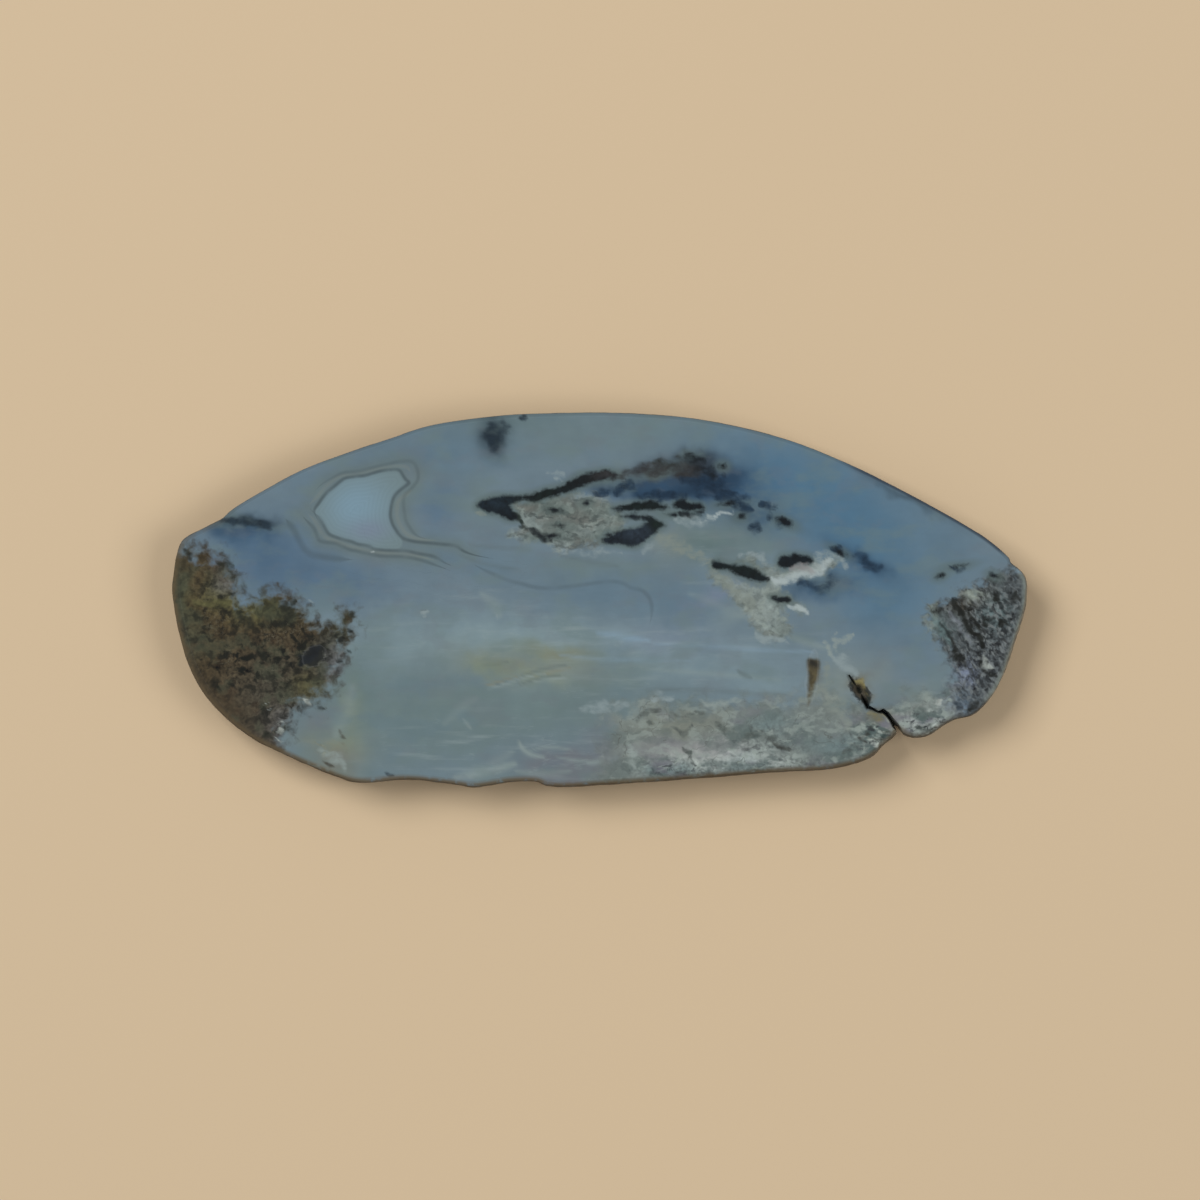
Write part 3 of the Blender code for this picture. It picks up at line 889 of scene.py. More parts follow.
# Dab: tint, reach, strength and the line that it follows
DARK_DABS = (
    (SLATE, 9, 0.66, ((488, 424), (492, 434), (490, 446))),
    (SLATE, 7, 0.7, ((500, 419), (502, 430), (498, 440))),
    (SLATE, 5, 0.9, ((520, 419), (528, 415))),
    (SLATE, 5, 0.95, ((224, 523), (244, 524), (264, 524))),
    (SLATE, 6, 0.8, ((256, 521), (264, 524), (270, 530))),
    (INK, 3.6, 0.9, ((531, 532), (540, 534), (552, 536))),
    (BOTTLE, 3.4, 1.0, ((509, 512), (515, 520), (521, 527))),
    (BOTTLE, 3.0, 0.9, ((519, 525), (525, 529), (531, 532))),
    (MAUVE, 7, 0.6, ((614, 479), (634, 473), (652, 470), (668, 470))),
    (MAUVE, 9, 0.8, ((656, 470), (680, 468), (700, 472))),
    (SOOT, 6, 0.7, ((654, 466), (668, 464), (676, 462))),
    (INK, 6.5, 0.9, ((682, 460), (692, 459), (704, 463))),
    (INK, 6, 1.0, ((704, 474), (711, 473), (718, 476))),
    (SLATE, 3.0, 0.9, ((724, 474), (725, 476))),
    (NAVY, 9, 1.0, ((684, 478), (704, 482), (722, 482))),
    (INK, 4, 0.8, ((694, 470), (706, 470))),
    (NAVY, 5, 0.9, ((596, 492), (603, 491), (609, 489))),
    (NAVY, 5.5, 0.95, ((616, 493), (625, 490), (633, 487))),
    (NAVY, 6, 0.9, ((640, 494), (664, 496), (684, 494))),
    (NAVY, 8.5, 1.15, ((712, 488), (722, 491), (732, 492))),
    (NAVY, 5, 0.7, ((700, 494), (740, 498), (752, 496))),
    (NAVY, 5.5, 0.9, ((744, 497), (748, 498))),
    (NAVY, 5, 0.95, ((735, 505), (752, 508))),
    (NAVY, 5, 0.95, ((764, 502), (774, 505))),
    (NAVY, 4.5, 0.95, ((768, 513), (770, 516))),
    (NAVY, 6, 0.85, ((750, 525), (762, 526))),
    (NAVY, 7, 0.7, ((776, 520), (790, 526))),
    (INK, 4, 0.8, ((640, 521), (634, 521))),
    (INK, 4, 0.9, ((682, 513), (690, 514), (702, 510))),
    (NAVY, 8, 0.55, ((798, 582), (816, 585), (836, 582))),
    (NAVY, 4, 0.8, ((832, 548), (844, 547))),
    (NAVY, 7, 0.6, ((850, 555), (864, 561), (878, 567))),
    (NAVY, 3.5, 0.6, ((951, 566), (966, 570))),
    (SLATE, 3.4, 0.5, ((389, 773), (397, 773))),
    (BOTTLE, 3.2, 0.8, ((850, 675), (853.5, 682), (857, 689))),
    (BOTTLE, 5.5, 1.7, ((858, 690), (863, 694), (867, 697))),
    (BOTTLE, 3.4, 1.4, ((863, 697), (866, 703), (867, 707))),
    (OCHRE, 4.2, 1.5, ((854, 680), (860, 683), (866, 687))),
    (OCHRE, 1.8, 1.2, ((861, 692), (865, 692.5), (868, 694))),
    (INK, 4.5, 1.2, ((316, 648), (310, 656), (300, 664))),
)

blades = np.maximum(shape_depth(BLADES, places), speck_depth(FLECKS, places))
give(agate.data, "blade", blades)
blade_tint = np.tile(linear(INK), (len(places), 1))
give_colour(agate.data, "blade_tint", washed(blade_tint, uneven, BLADE_WASHES))


# The chalky patches beside the dendrites: opaque pale cream quartz with grey pits, ragged at its
# edges, and the soft white wisps that run on from it through the blue.

CREAM = (108, 118, 112)
CHALK_WHITE = (148, 158, 154)
CHALK_PINK = (100, 98, 90)
ROSE = (138, 134, 134)
PUTTY = (128, 132, 118)
MIST = (136, 150, 152)
SNOW = (166, 178, 178)
CHALK = (
    (
        (512, 503), (524, 501.5), (538, 501), (552, 497.5), (566, 494), (580, 493), (595, 495),
        (606, 500), (611, 507), (619, 513), (625, 519), (620, 530), (606, 536), (600, 543),
        (584, 545.5), (568, 552), (556, 552.5), (553, 545), (540, 541.5), (518, 540), (506, 534),
        (511, 529.5), (520, 528), (517.5, 520), (516, 513),
    ), (
        (738, 562), (744, 557), (752, 555), (760, 557), (758, 562), (766, 567), (778, 566),
        (786, 570), (799, 564), (812, 564), (826, 557), (838, 560), (832, 568), (816, 574),
        (800, 578), (786, 582), (780, 590), (788, 596), (800, 606), (806, 612), (796, 610), (785, 606),
        (786, 618), (792, 628), (786, 637), (770, 641), (758, 632), (748, 618), (736, 602), (722, 588),
        (708, 576), (716, 572), (730, 578), (748, 584), (764, 584), (766, 578), (756, 572), (746, 566),
    ),
)
CHALK_WASHES = (
    (CHALK_WHITE, (772, 577), (24, 10), 0, 0.9),
    (CHALK_WHITE, (812, 568), (24, 9), 14, 0.9),
    (FROST, (764, 612), (26, 28), 0, 1.1),
    (PUTTY, (744, 600), (20, 12), -40, 0.6),
    (FROST, (536, 524), (18, 9), 0, 1.0),
    (FROST, (556, 540), (14, 7), 0, 0.7),
    (MIST, (588, 497), (18, 4), 0, 0.9),
    (FROST, (590, 528), (18, 8), 0, 0.5),
    (CHALK_PINK, (527, 505), (14, 6), 0, 0.8),
    (CHALK_PINK, (570, 514), (16, 14), 0, 0.6),
    (CHALK_PINK, (590, 546), (20, 6), 0, 0.6),
    (MIST, (566, 548), (14, 6), 0, 0.7),
    (MIST, (516, 535), (14, 7), 0, 0.5),
    (MIST, (740, 588), (26, 10), -40, 0.5),
)
# Where the chalk is pitted: middle, reach, turn and strength
CHALK_PITTED = (((560, 520), (76, 40), 0, 1.0), ((770, 630), (20, 12), 0, 0.5))
PALE_DABS = (
    (SNOW, 2.6, 0.95, ((700, 520), (718, 517), (737, 512))),
    (MIST, 5, 0.8, ((676, 520), (694, 520), (712, 519))),
    (MIST, 4, 0.65, ((655, 541), (650, 547), (642, 551))),
    (MIST, 4, 0.5, ((560, 553), (590, 551), (620, 552))),
    (SAGE, 10, 0.65, ((660, 536), (676, 546), (690, 554))),
    (SAGE, 9, 0.65, ((700, 556), (716, 574), (736, 590), (752, 604))),
    (MIST, 5, 0.7, ((742, 553), (754, 556), (764, 559))),
    (SNOW, 5, 0.95, ((770, 576), (784, 580), (798, 575))),
    (ROSE, 5, 0.9, ((790, 570), (800, 567), (810, 568))),
    (SNOW, 5.5, 0.85, ((798, 572), (812, 569), (830, 562))),
    (MIST, 5, 0.7, ((816, 558), (832, 556), (846, 566))),
    (SNOW, 2.6, 1.0, ((792, 604), (800, 608), (806, 612))),
    (MIST, 4, 0.9, ((754, 632), (768, 641), (786, 640))),
    (FROST, 3.2, 0.9, ((825, 638), (829, 646), (833, 654))),
    (FROST, 3.2, 0.9, ((850, 633), (844, 640), (836, 645))),
    (FROST, 3, 0.6, ((836, 634), (836, 642), (836, 650))),
    (MIST, 4.5, 0.95, ((833, 652), (842, 660), (852, 668), (856, 672))),
    (MIST, 2.6, 1.0, ((553, 476), (558, 478))),
    (MIST, 2.4, 0.7, ((544, 476), (552, 471), (562, 473), (566, 480), (554, 482))),
    (SAGE, 9, 0.7, ((815, 690), (830, 700), (842, 712), (846, 730))),
    (SAGE, 7, 0.7, ((800, 700), (822, 690), (826, 664))),
    (MIST, 7, 0.7, ((584, 707), (604, 706), (626, 704))),
    (FROST, 6, 0.7, ((628, 744), (632, 756), (634, 768))),
    (MIST, 5, 0.7, ((652, 699), (662, 694), (672, 696))),
    (FROST, 5, 0.7, ((700, 702), (720, 704), (740, 702))),
    (FROST, 6, 0.8, ((318, 752), (326, 757), (338, 762), (344, 770))),
    (MIST, 3.6, 1.1, ((424, 613), (427, 614))),
    (SNOW, 1.8, 0.9, ((372, 552), (374, 553))),
    (MIST, 3, 0.6, ((495, 616), (498, 620))),
    (MIST, 2.4, 0.7, ((312, 601), (316, 603))),
    (MIST, 1.6, 1.0, ((487, 499), (489, 500))),
    (OCHRE, 6, 0.55, ((868, 712), (876, 716), (884, 717))),
    (SAGE, 3, 0.7, ((478, 513), (484, 514))),
)

chalk_body = np.tile(linear(CREAM), (len(places), 1))
give(agate.data, "chalk", shape_depth(CHALK, places))
give(agate.data, "pitted", strongest(CHALK_PITTED, places))
give_colour(agate.data, "chalk_tint", washed(chalk_body, uneven, CHALK_WASHES))


# The moss at the left end, the speckled matrix at the right end and the pale crust along the base:
# grainy mineral that grew in from the nodule's wall. Each is a ragged patch with a drifting tint, and
# the flecks in it are stronger in some places than in others.

UMBER = (66, 55, 36)
OLIVE = (82, 80, 50)
TAUPE = (64, 61, 52)
FERN = (66, 72, 56)
ASH = (104, 113, 108)
GRAPHITE = (72, 78, 80)
SEPIA = (70, 62, 50)
MURK = (70, 78, 74)
BONE = (156, 163, 157)
TAN = (113, 117, 104)
RUSSET = (78, 60, 42)

MOSS = (
    (150, 556), (184, 550), (198, 554), (206, 548), (216, 555), (228, 564), (236, 577), (238, 590),
    (240, 602), (256, 600), (272, 592), (288, 596), (300, 604), (306, 614), (316, 622), (328, 624),
    (346, 612), (354, 620), (348, 640), (344, 664), (334, 686), (318, 698), (300, 706), (290, 722),
    (282, 744), (268, 764), (230, 760), (150, 700),
)
MATRIX = (
    (928, 606), (940, 602), (955, 598), (960, 590), (975, 586), (988, 578), (998, 572), (1015, 570),
    (1045, 580), (1045, 660), (1010, 716), (985, 735), (958, 722), (948, 702), (953, 688), (953, 668),
    (944, 652), (934, 636), (926, 622),
)
CRUST = (
    (606, 740), (612, 718), (626, 706), (642, 708), (654, 702), (680, 705), (704, 700), (726, 704),
    (748, 704), (772, 700), (796, 702), (820, 694), (840, 702), (862, 710), (882, 714), (896, 706),
    (912, 698), (932, 696), (952, 690), (970, 720), (930, 770), (880, 800), (700, 830), (600, 820),
    (596, 780), (604, 756),
)
# The moss lies left of the first and the matrix right of the second
MOSS_END, MATRIX_START = 420, 938
GRAIN_WASHES = (
    (OLIVE, (208, 592), (28, 22), 0, 0.7),
    (OLIVE, (246, 606), (30, 12), -10, 0.9),
    (UMBER, (214, 640), (24, 20), 0, 0.8),
    (RUSSET, (196, 582), (9, 18), 0, 0.45),
    (DOVE, (226, 580), (14, 18), 0, 0.35),
    (FERN, (176, 640), (13, 80), 0, 0.8),
    (FERN, (196, 640), (12, 16), 0, 0.5),
    (OLIVE, (266, 610), (32, 12), 0, 0.85),
    (SOOT, (286, 618), (20, 12), 0, 0.7),
    (SOOT, (330, 636), (26, 12), 20, 0.6),
    (SOOT, (312, 656), (20, 14), 20, 0.6),
    (FERN, (338, 636), (14, 26), 0, 0.5),
    (TAUPE, (276, 690), (50, 44), 0, 0.85),
    (OLIVE, (316, 688), (24, 14), 0, 0.7),
    (DOVE, (336, 668), (16, 22), 0, 0.6),
    (DOVE, (290, 730), (26, 20), 0, 0.4),
    (SEPIA, (964, 604), (20, 12), 30, 0.8),
    (TEAL, (946, 626), (16, 16), 0, 0.4),
    (TEAL, (996, 612), (16, 18), 0, 0.5),
    (SAGE, (972, 594), (16, 6), 0, 0.6),
    (LILAC, (962, 676), (14, 12), 0, 0.6),
    (DEEP, (962, 706), (16, 10), 0, 0.6),
    (TAN, (686, 724), (56, 15), 0, 0.9),
    (SAGE, (634, 714), (26, 9), 0, 0.7),
    (SAGE, (634, 756), (10, 20), 0, 0.8),
    (DOVE, (606, 745), (10, 20), 0, 0.7),
    (ROSE, (668, 748), (26, 9), 0, 0.6),
    (BONE, (680, 756), (18, 8), 0, 0.7),
    (BONE, (716, 758), (36, 12), 0, 1.4),
    (CLOUD, (745, 760), (20, 10), 0, 0.8),
    (ROSE, (700, 748), (30, 7), 0, 0.5),
    (ROSE, (730, 748), (20, 8), 0, 0.4),
    (BONE, (770, 764), (34, 12), 0, 0.7),
    (TEAL, (668, 770), (26, 8), 0, 0.7),
    (TEAL, (744, 768), (24, 6), 0, 0.6),
    (TEAL, (768, 724), (30, 10), 0, 0.7),
    (TEAL, (836, 744), (34, 10), 0, 0.8),
    (BONE, (872, 752), (24, 10), 30, 0.7),
    (PUTTY, (882, 730), (16, 14), 0, 0.7),
    (BONE, (924, 722), (34, 16), 10, 0.8),
    (FROST, (940, 700), (20, 10), 20, 0.3),
)
# Where the flecks are strong: middle, reach, turn and strength
GRAIN_FLECKS = (
    ((680, 768), (46, 10), 0, 1.0),
    ((760, 745), (40, 22), 0, 0.7),
    ((780, 765), (60, 10), 0, 0.8),
    ((880, 738), (28, 22), 0, 1.5),
    ((925, 724), (34, 16), 0, 1.3),
    ((990, 640), (70, 90), 0, 1.3),
    ((285, 650), (70, 50), 0, 1.2),
    ((220, 620), (50, 80), 0, 1.0),
    ((240, 665), (44, 40), 0, 1.3),
    ((280, 710), (50, 40), 0, 1.0),
)
# Dabs in all three, as in DARK_DABS
GRAIN_DABS = (
    (PEAT, 5, 1.2, ((955, 600), (961, 612), (970, 624), (979, 636), (984, 648))),
    (PEAT, 2.6, 0.9, ((940, 622), (950, 634), (958, 648))),
    (PEAT, 2.4, 0.9, ((966, 608), (976, 618), (984, 630))),
    (PEAT, 4, 0.75, ((958, 602), (966, 605), (974, 605))),
    (GRAPHITE, 4, 0.5, ((944, 616), (954, 628), (962, 641))),
    (DOVE, 3, 0.7, ((950, 614), (960, 626), (970, 640))),
    (SAGE, 4, 0.6, ((966, 594), (980, 592))),
    (TEAL, 7, 0.6, ((934, 618), (942, 628), (950, 640))),
    (PEAT, 5, 1.1, ((994, 595), (998, 597))),
    (PEAT, 4.5, 0.85, ((1015, 590), (1016, 600))),
    (PEAT, 5, 1.1, ((935, 612), (941, 610))),
    (PEAT, 4.5, 1.0, ((954, 648), (958, 656), (963, 664))),
    (LILAC, 4, 0.35, ((958, 670), (964, 677))),
    (PEAT, 3, 0.9, ((977, 660), (984, 668), (992, 676))),
    (BONE, 3, 0.7, ((982, 660), (990, 666))),
    (PEAT, 4, 0.9, ((985, 622), (992, 618))),
    (PEAT, 4, 0.9, ((1000, 620), (1006, 624))),
    (PEAT, 5, 1.0, ((972, 708), (982, 702))),
    (SLATE, 5, 0.9, ((955, 708), (962, 704))),
    (BONE, 4, 0.8, ((936, 704), (946, 700))),
    (MURK, 6, 0.8, ((745, 737), (758, 738), (770, 738))),
    (SOOT, 2.6, 0.7, ((768, 740), (778, 743), (788, 747))),
    (MURK, 1.8, 0.8, ((684, 744), (691, 754), (696, 766))),
    (MURK, 2.2, 0.7, ((670, 717), (690, 715), (708, 713))),
    (MURK, 2.8, 0.8, ((672, 722), (684, 729), (696, 728))),
    (MURK, 3.2, 0.8, ((718, 726), (724, 732), (728, 738))),
    (MURK, 3, 0.5, ((648, 723), (656, 726))),
    (MURK, 2.8, 0.8, ((634, 718), (648, 713), (662, 714))),
    (SOOT, 2.6, 0.9, ((868, 730), (873, 733))),
    (SOOT, 2.6, 0.9, ((880, 738), (886, 741))),
    (SOOT, 2.2, 0.8, ((862, 738), (868, 741))),
    (MURK, 3.2, 0.8, ((840, 752), (856, 746))),
    (MURK, 4.0, 0.9, ((916, 728), (930, 730))),
    (SOOT, 4.5, 0.8, ((282, 604), (290, 612), (286, 620))),
    (SOOT, 6, 0.9, ((222, 565), (232, 568))),
    (SOOT, 4, 0.8, ((186, 548), (188, 556))),
    (SOOT, 4, 0.9, ((228, 598), (234, 592))),
    (SOOT, 4, 0.8, ((298, 598), (290, 604))),
    (PEAT, 5, 0.8, ((300, 642), (312, 634))),
    (PEAT, 4.5, 0.9, ((328, 637), (336, 632))),
    (PEAT, 4, 0.9, ((338, 645), (344, 640))),
    (PEAT, 3.2, 0.8, ((337, 660), (340, 662))),
    (SOOT, 4, 0.8, ((352, 616), (356, 610))),
    (PEAT, 4, 0.8, ((284, 688), (292, 682))),
    (PEAT, 4, 0.7, ((212, 686), (220, 692))),
    (BONE, 2.2, 0.8, ((306, 698), (312, 701))),
    (BONE, 1.8, 0.7, ((268, 711), (273, 710))),
    (BONE, 1.2, 0.9, ((274, 727), (286, 726))),
    (BONE, 1.2, 0.8, ((276, 732), (287, 731))),
    (BONE, 1.2, 0.8, ((277, 738), (288, 737))),
    (BONE, 1.4, 0.6, ((262, 704), (268, 703))),
    (TAN, 2.4, 0.7, ((316, 744), (324, 750), (322, 758))),
    (TAN, 2.4, 0.7, ((334, 738), (344, 744), (350, 756))),
    (TAUPE, 2.4, 0.6, ((322, 764), (332, 770))),
    (TAUPE, 2.0, 0.5, ((340, 728), (344, 736))),
    (PEAT, 2.6, 0.8, ((350, 626), (354, 630))),
    (PEAT, 2.2, 0.7, ((345, 652), (349, 656))),
    (PEAT, 2.2, 0.7, ((318, 706), (324, 708))),
    (SOOT, 5, 0.8, ((264, 734), (272, 742))),
    (SOOT, 7, 0.8, ((284, 600), (290, 612), (282, 622))),
    (SOOT, 5, 0.7, ((236, 612), (246, 622), (242, 634))),
    (SOOT, 5, 0.7, ((258, 650), (270, 662))),
    (OLIVE, 6, 0.7, ((196, 600), (214, 606), (232, 604))),
)

give(agate.data, "moss", shape_depth([MOSS], places))
give(agate.data, "matrix", shape_depth([MATRIX], places))
give(agate.data, "crust", shape_depth([CRUST], places))
grain = np.tile(linear(ASH), (len(places), 1))
grain[places[:, 0] < MOSS_END] = linear(UMBER)
grain[places[:, 0] > MATRIX_START] = linear(GRAPHITE)
grain = washed(grain, uneven, GRAIN_WASHES)
fleck = strongest(GRAIN_FLECKS, places)
dark, dark_tint = dab_strength(DARK_DABS + GRAIN_DABS, uneven)
give(agate.data, "dark", dark)
give_colour(agate.data, "dark_tint", dark_tint)
light, light_tint = dab_strength(PALE_DABS, uneven)
give(agate.data, "light", light)
give_colour(agate.data, "light_tint", light_tint)


# The fissure, its rusty pocket and the narrow brown mould: where water reached in from the edge and
# left iron stain. The stain fades out from each of them, and the hollows themselves are dark.

STAINS = (
    ((858, 682), (8, 10), -50, 0.7),
    ((866, 694), (7, 8), 0, 0.7),
    ((877, 717), (12, 6), -14, 0.6),
    ((814, 676), (6, 16), 0, 0.35),
    ((896, 734), (10, 6), -30, 0.5),
)
MOULD = (
    (807, 660), (813, 659), (819.5, 660.5), (819, 672), (815, 686), (811, 698), (808, 705),
    (807.5, 694), (808.5, 676),
)
MOULD_STEPS = 2
MOULD_SHADE = (((813, 663), (7, 5), 0, 0.9), ((809, 680), (2.4, 16), 0, 0.5))
# The fissure's stations that have a dark line along them, up to the pocket
CRACK_STATIONS = 11
# How much wider than the hollows their colour and their dullness reach
SUNK_WIDER, DENT_WIDER = 1.3, 1.5
DENT_RIM = (0.0, 0.15)
DENT_DULL, PORE_DULL = 0.8, 0.35

give(agate.data, "stain", strongest(STAINS, uneven))
give(agate.data, "mould", shape_depth([MOULD], places, steps=MOULD_STEPS))
give(agate.data, "mould_top", strongest(MOULD_SHADE, uneven))
crack_line = curve_through([place for place, _, _ in FISSURE[:CRACK_STATIONS]], LINE_STEPS)
crack, _ = side_distance(crack_line, places)
give(agate.data, "crack", np.abs(crack) * UNIT_MM)


def hollow_specks(hollows, wider):
    """The hollows as ellipses in the sketch, made wider by a factor."""
    return [
        (middle, (wider * long / UNIT, wider * wide / UNIT), turn)
        for middle, long, wide, turn, _ in hollows
    ]


give(agate.data, "sunk", speck_depth(hollow_specks((POCKET, VUG), SUNK_WIDER), places))
dents = hollow_specks((POCKET, VUG, MOULD_DENT), DENT_WIDER)
dented = DENT_DULL * smooth_step(speck_depth(dents, places), *DENT_RIM)
pores = hollow_specks(CRUST_PORES, DENT_WIDER)
pored = PORE_DULL * smooth_step(speck_depth(pores, places), *DENT_RIM)
give(agate.data, "dented", np.maximum(dented, pored))


# The rind: the nodule's own skin round the side, dull and brown-grey with the slice's tints showing
# through near the face. The right end has a narrow smooth strip where the polish ran over the edge.

# Upward parts of the normals between which the rind and the worn rim give way to the flat face
RIND_SLOPE = (0.35, 0.85)
WORN_SLOPE = (0.994, 0.9998)
# Depths under the face between which the rind's share grows from its share at the top to 1
RIND_TOP_SHARE = 0.45
RIND_GROWTH = (0.0005, 0.0022)
# Distances from the edge, in mm, between which a layer fades out inwards
WORN_REACH = (1.1, 1.7)
STRIP_REACH = (0.4, 1.1)
FRINGE_REACH = (0.35, 0.95)
# The smooth strip: its window, where that fades out, and its share of tint and of calm
STRIP_TINT = (104, 111, 104)
STRIP_WINDOW = ((1016, 640), (44, 76), -14)
STRIP_FADE = (0.8, 1.1)
STRIP_SHARE = 0.7
STRIP_CALM = 0.85
# The low edge, away from the light, has a brown fringe that is partly the rind's brown and partly painted
# shade. It lies where y - slope * x is large in the sketch.
FRINGE_TILT = 0.25
FRINGE_START = (440, 560)
# The dark line along the upper right rim: places, half widths in mm, and length of its ends
RIM_LINE = ((835, 458), (880, 478), (930, 504), (980, 533), (1010, 556))
RIM_WIDTH = (0.2, 0.6)
RIM_ENDS = (0.2, 0.1)

normals = np.empty(3 * len(points))
agate.data.vertex_normals.foreach_get("vector", normals)
flatness = np.abs(normals.reshape(-1, 3)[:, 2])
steep = 1 - smooth_step(flatness, *RIND_SLOPE)
lower = smooth_step(THICKNESS - points[:, 2], *RIND_GROWTH)
give(agate.data, "rind", steep * (RIND_TOP_SHARE + (1 - RIND_TOP_SHARE) * lower))
sketch = ARCHED_TOP + BLUNT_RIGHT_END + LOBED_BASE + BLUNT_LEFT_END
edge = depth_inside(curve_through(sketch, SHAPE_STEPS, closed=True), places)
# The worn rim's mask: it dulls the gloss, and the finish darkens the rim with painted shade
worn_rim_and_shade = (1 - smooth_step(flatness, *WORN_SLOPE)) * (1 - smooth_step(edge, *WORN_REACH))
give(agate.data, "worn_rim_and_shade", worn_rim_and_shade)
# The low edge's brown fringe, partly painted shade on the side away from the light
low_edge = smooth_step(places[:, 1] - FRINGE_TILT * places[:, 0], *FRINGE_START)
give(agate.data, "brown_fringe_and_shade", low_edge * (1 - smooth_step(edge, *FRINGE_REACH)))
window = 1 - smooth_step(ellipse_radius(places, *STRIP_WINDOW), *STRIP_FADE)
strip = window * (1 - smooth_step(edge, *STRIP_REACH))
grain += STRIP_SHARE * strip[:, None] * (linear(STRIP_TINT) - grain)
# Painted light that lightens the smooth strip's sloping rim
give(agate.data, "strip_painted_light", strip * worn_rim_and_shade)
give(agate.data, "fleck", fleck * (1 - STRIP_CALM * strip))
give_colour(agate.data, "grain_tint", grain)
give_colour(agate.data, "body_tint", body)
rim, rim_share = side_distance(curve_through(RIM_LINE, LINE_STEPS), places)
rim_ends = smooth_step(rim_share, 0, RIM_ENDS[0]) * smooth_step(1 - rim_share, 0, RIM_ENDS[1])
give(agate.data, "rim", rim_ends * (1 - smooth_step(np.abs(rim) * UNIT_MM, *RIM_WIDTH)))


# The finish. Both faces are ground and polished to a soft gloss, chalk and crust take less of a polish,
# and the rind is dull. The stored shapes' edges are broken up with noise, because the real ones are
# made of grains. All patterns are in millimetres of the piece's own space.

PALE = (150, 163, 163)
PIT_GREY = (50, 56, 52)
BAND_DARK = (66, 79, 84)
BAND_PALE = (118, 127, 122)
BLADE_HALO = (86, 101, 98)
LICHEN = (118, 114, 96)
COAL = (20, 22, 24)
PEARL = (118, 124, 124)
CRACK_BROWN = (62, 62, 50)
FLAX = (144, 155, 147)
TEAL_DARK = (66, 82, 78)
VIOLET = (104, 104, 112)
RUST = (104, 92, 56)
MOULD_BROWN = (82, 74, 50)
HOLLOW_DARK = (5, 11, 10)
RIND_BROWN = (108, 98, 80)
RIND_DARK = (72, 62, 48)
RIND_PALE = (128, 120, 104)
RIM_DARK = (50, 62, 76)
FRINGE_BROWN_AND_SHADE = (92, 78, 54)

# Noise: size in mm, detail, and stretch along each axis
BROAD = (6.0, 4.0)
MIDDLING = (2.2, 4.0)
GRANULES = (1.0, 3.0)
FINE = (0.7, 3.0)
TINY = (0.35, 2.0)
STREAKY = (0.8, 4.0, (7, 1, 2))
WAVY = (0.9, 3.0, (3, 1, 1))
CRAZED = (3.5, 4.0)
LIGHT_TUFTS = (0.6, 5.0, (1.8, 1, 1))
DARK_TUFTS = (0.8, 5.0, (1.6, 1, 1))
RIND_LUMPS = (0.5, 5.0)
CURL_SIZE, CURL_PUSH = 1.3, 1.1
GRAIN_SLANT = 0.9

# Edge of a stored shape: grain, how far it wanders and how soft it is, in mm
EYE_EDGE = (0.8, 0.06, 0.2)
CRUST_EDGE = (1.8, 3.0, 1.6)
MOSS_EDGE = (1.2, 3.0, 1.3)
MATRIX_EDGE = (1.0, 2.0, 0.7)
CHALK_EDGE = (0.8, 1.1, 0.6)
MOULD_EDGE = (0.6, 0.16, 0.3)
SUNK_EDGE = (0.6, 0.5, 0.2)
BLADE_EDGE = (0.8, 0.42, 0.26)

# Where a stored distance or strength begins to count, and where it counts in full
LINE_EDGE = (0.1, 1.5)
HALO_EDGE = (-0.9, 0.0)
CRACK_EDGE = (0.08, 0.45)
DAB_START = (0.05, 0.4)
LIGHT_EDGE = (0.0, 1.1)
DARK_EDGE = (-0.1, 1.15)
WORN_START = (0.0, 0.12)

# Gain and base of a noise or a stored value
LIGHT_SWING = (1.8, -0.9)
DARK_SWING = (2.0, -0.95)
CHALK_GRAIN = (1.5, 0.2)
MOULD_GRAIN = (1.4, 0.3)
DARK_GRAIN = (1.6, 0.3)
BLADE_GRAIN = (2.4, -0.1)
FINE_FLECKS = (2.2, 0.6)
TINY_FLECKS = 1.5
RING_RATE, RING_SWING = 14.0, 0.02
BODY_SWINGS = (0.26, 0.14, 0.10)
# Painted shade on the worn rim and painted light on the smooth strip, as gains on the colour
WORN_RIM_PAINTED_SHADE, STRIP_PAINTED_LIGHT_GAIN = -0.22, 0.8

# Share of a layer where its mask is full
CRUST_COVER = 0.9
CHALK_COVER = 0.9
SUNK_COVER = 0.9
HALO_COVER = 0.6
LIGHT_COVER = 0.85
DARK_COVER = 0.92
RIM_COVER = 0.85

# Stored lines: name, the strength of each of the three, and tint
LINE_LAYERS = (
    ("bands_pale", (0.5, 0.5, 0.4), BAND_PALE),
    ("bands_inner", (0.68, 0.6, 0.45), BAND_DARK),
    ("bands_outer", (0.4, 0.32, 0.3), BAND_DARK),
)

# Patches of another tint in a layer: tint, ground, size, detail and stretch of the noise, where it starts
# and is full, and the patches' share as a gain on the layer's strength and a base
BODY_PATCHES = (
    (SEA, "still", (3.2, 4.0, 1.8), (0.48, 0.66), (0, 0.42)),
    (DOVE, "curled", (2.4, 4.0, 1.8), (0.52, 0.68), (0, 0.18)),
    (STEEL, "curled", (4.4, 4.0, 1.6), (0.54, 0.68), (0, 0.2)),
)
CRUST_PATCHES = (
    (VIOLET, "still", (2.4, 5.0, 1.8), (0.5, 0.66), (0.6, 0.35)),
    (TEAL_DARK, "still", (1.7, 5.0, 2), (0.5, 0.62), (0.6, 0.35)),
    (FLAX, "curled", (1.1, 5.0, 1.7), (0.52, 0.66), (0.5, 0.45)),
    (COAL, "curled", (0.7, 4.0, 1.5), (0.58, 0.66), (0.75, 0)),
)
MOSS_GREENS = ((FERN, "still", (2.6, 5.0, 1), (0.5, 0.62), (0, 0.45)),)
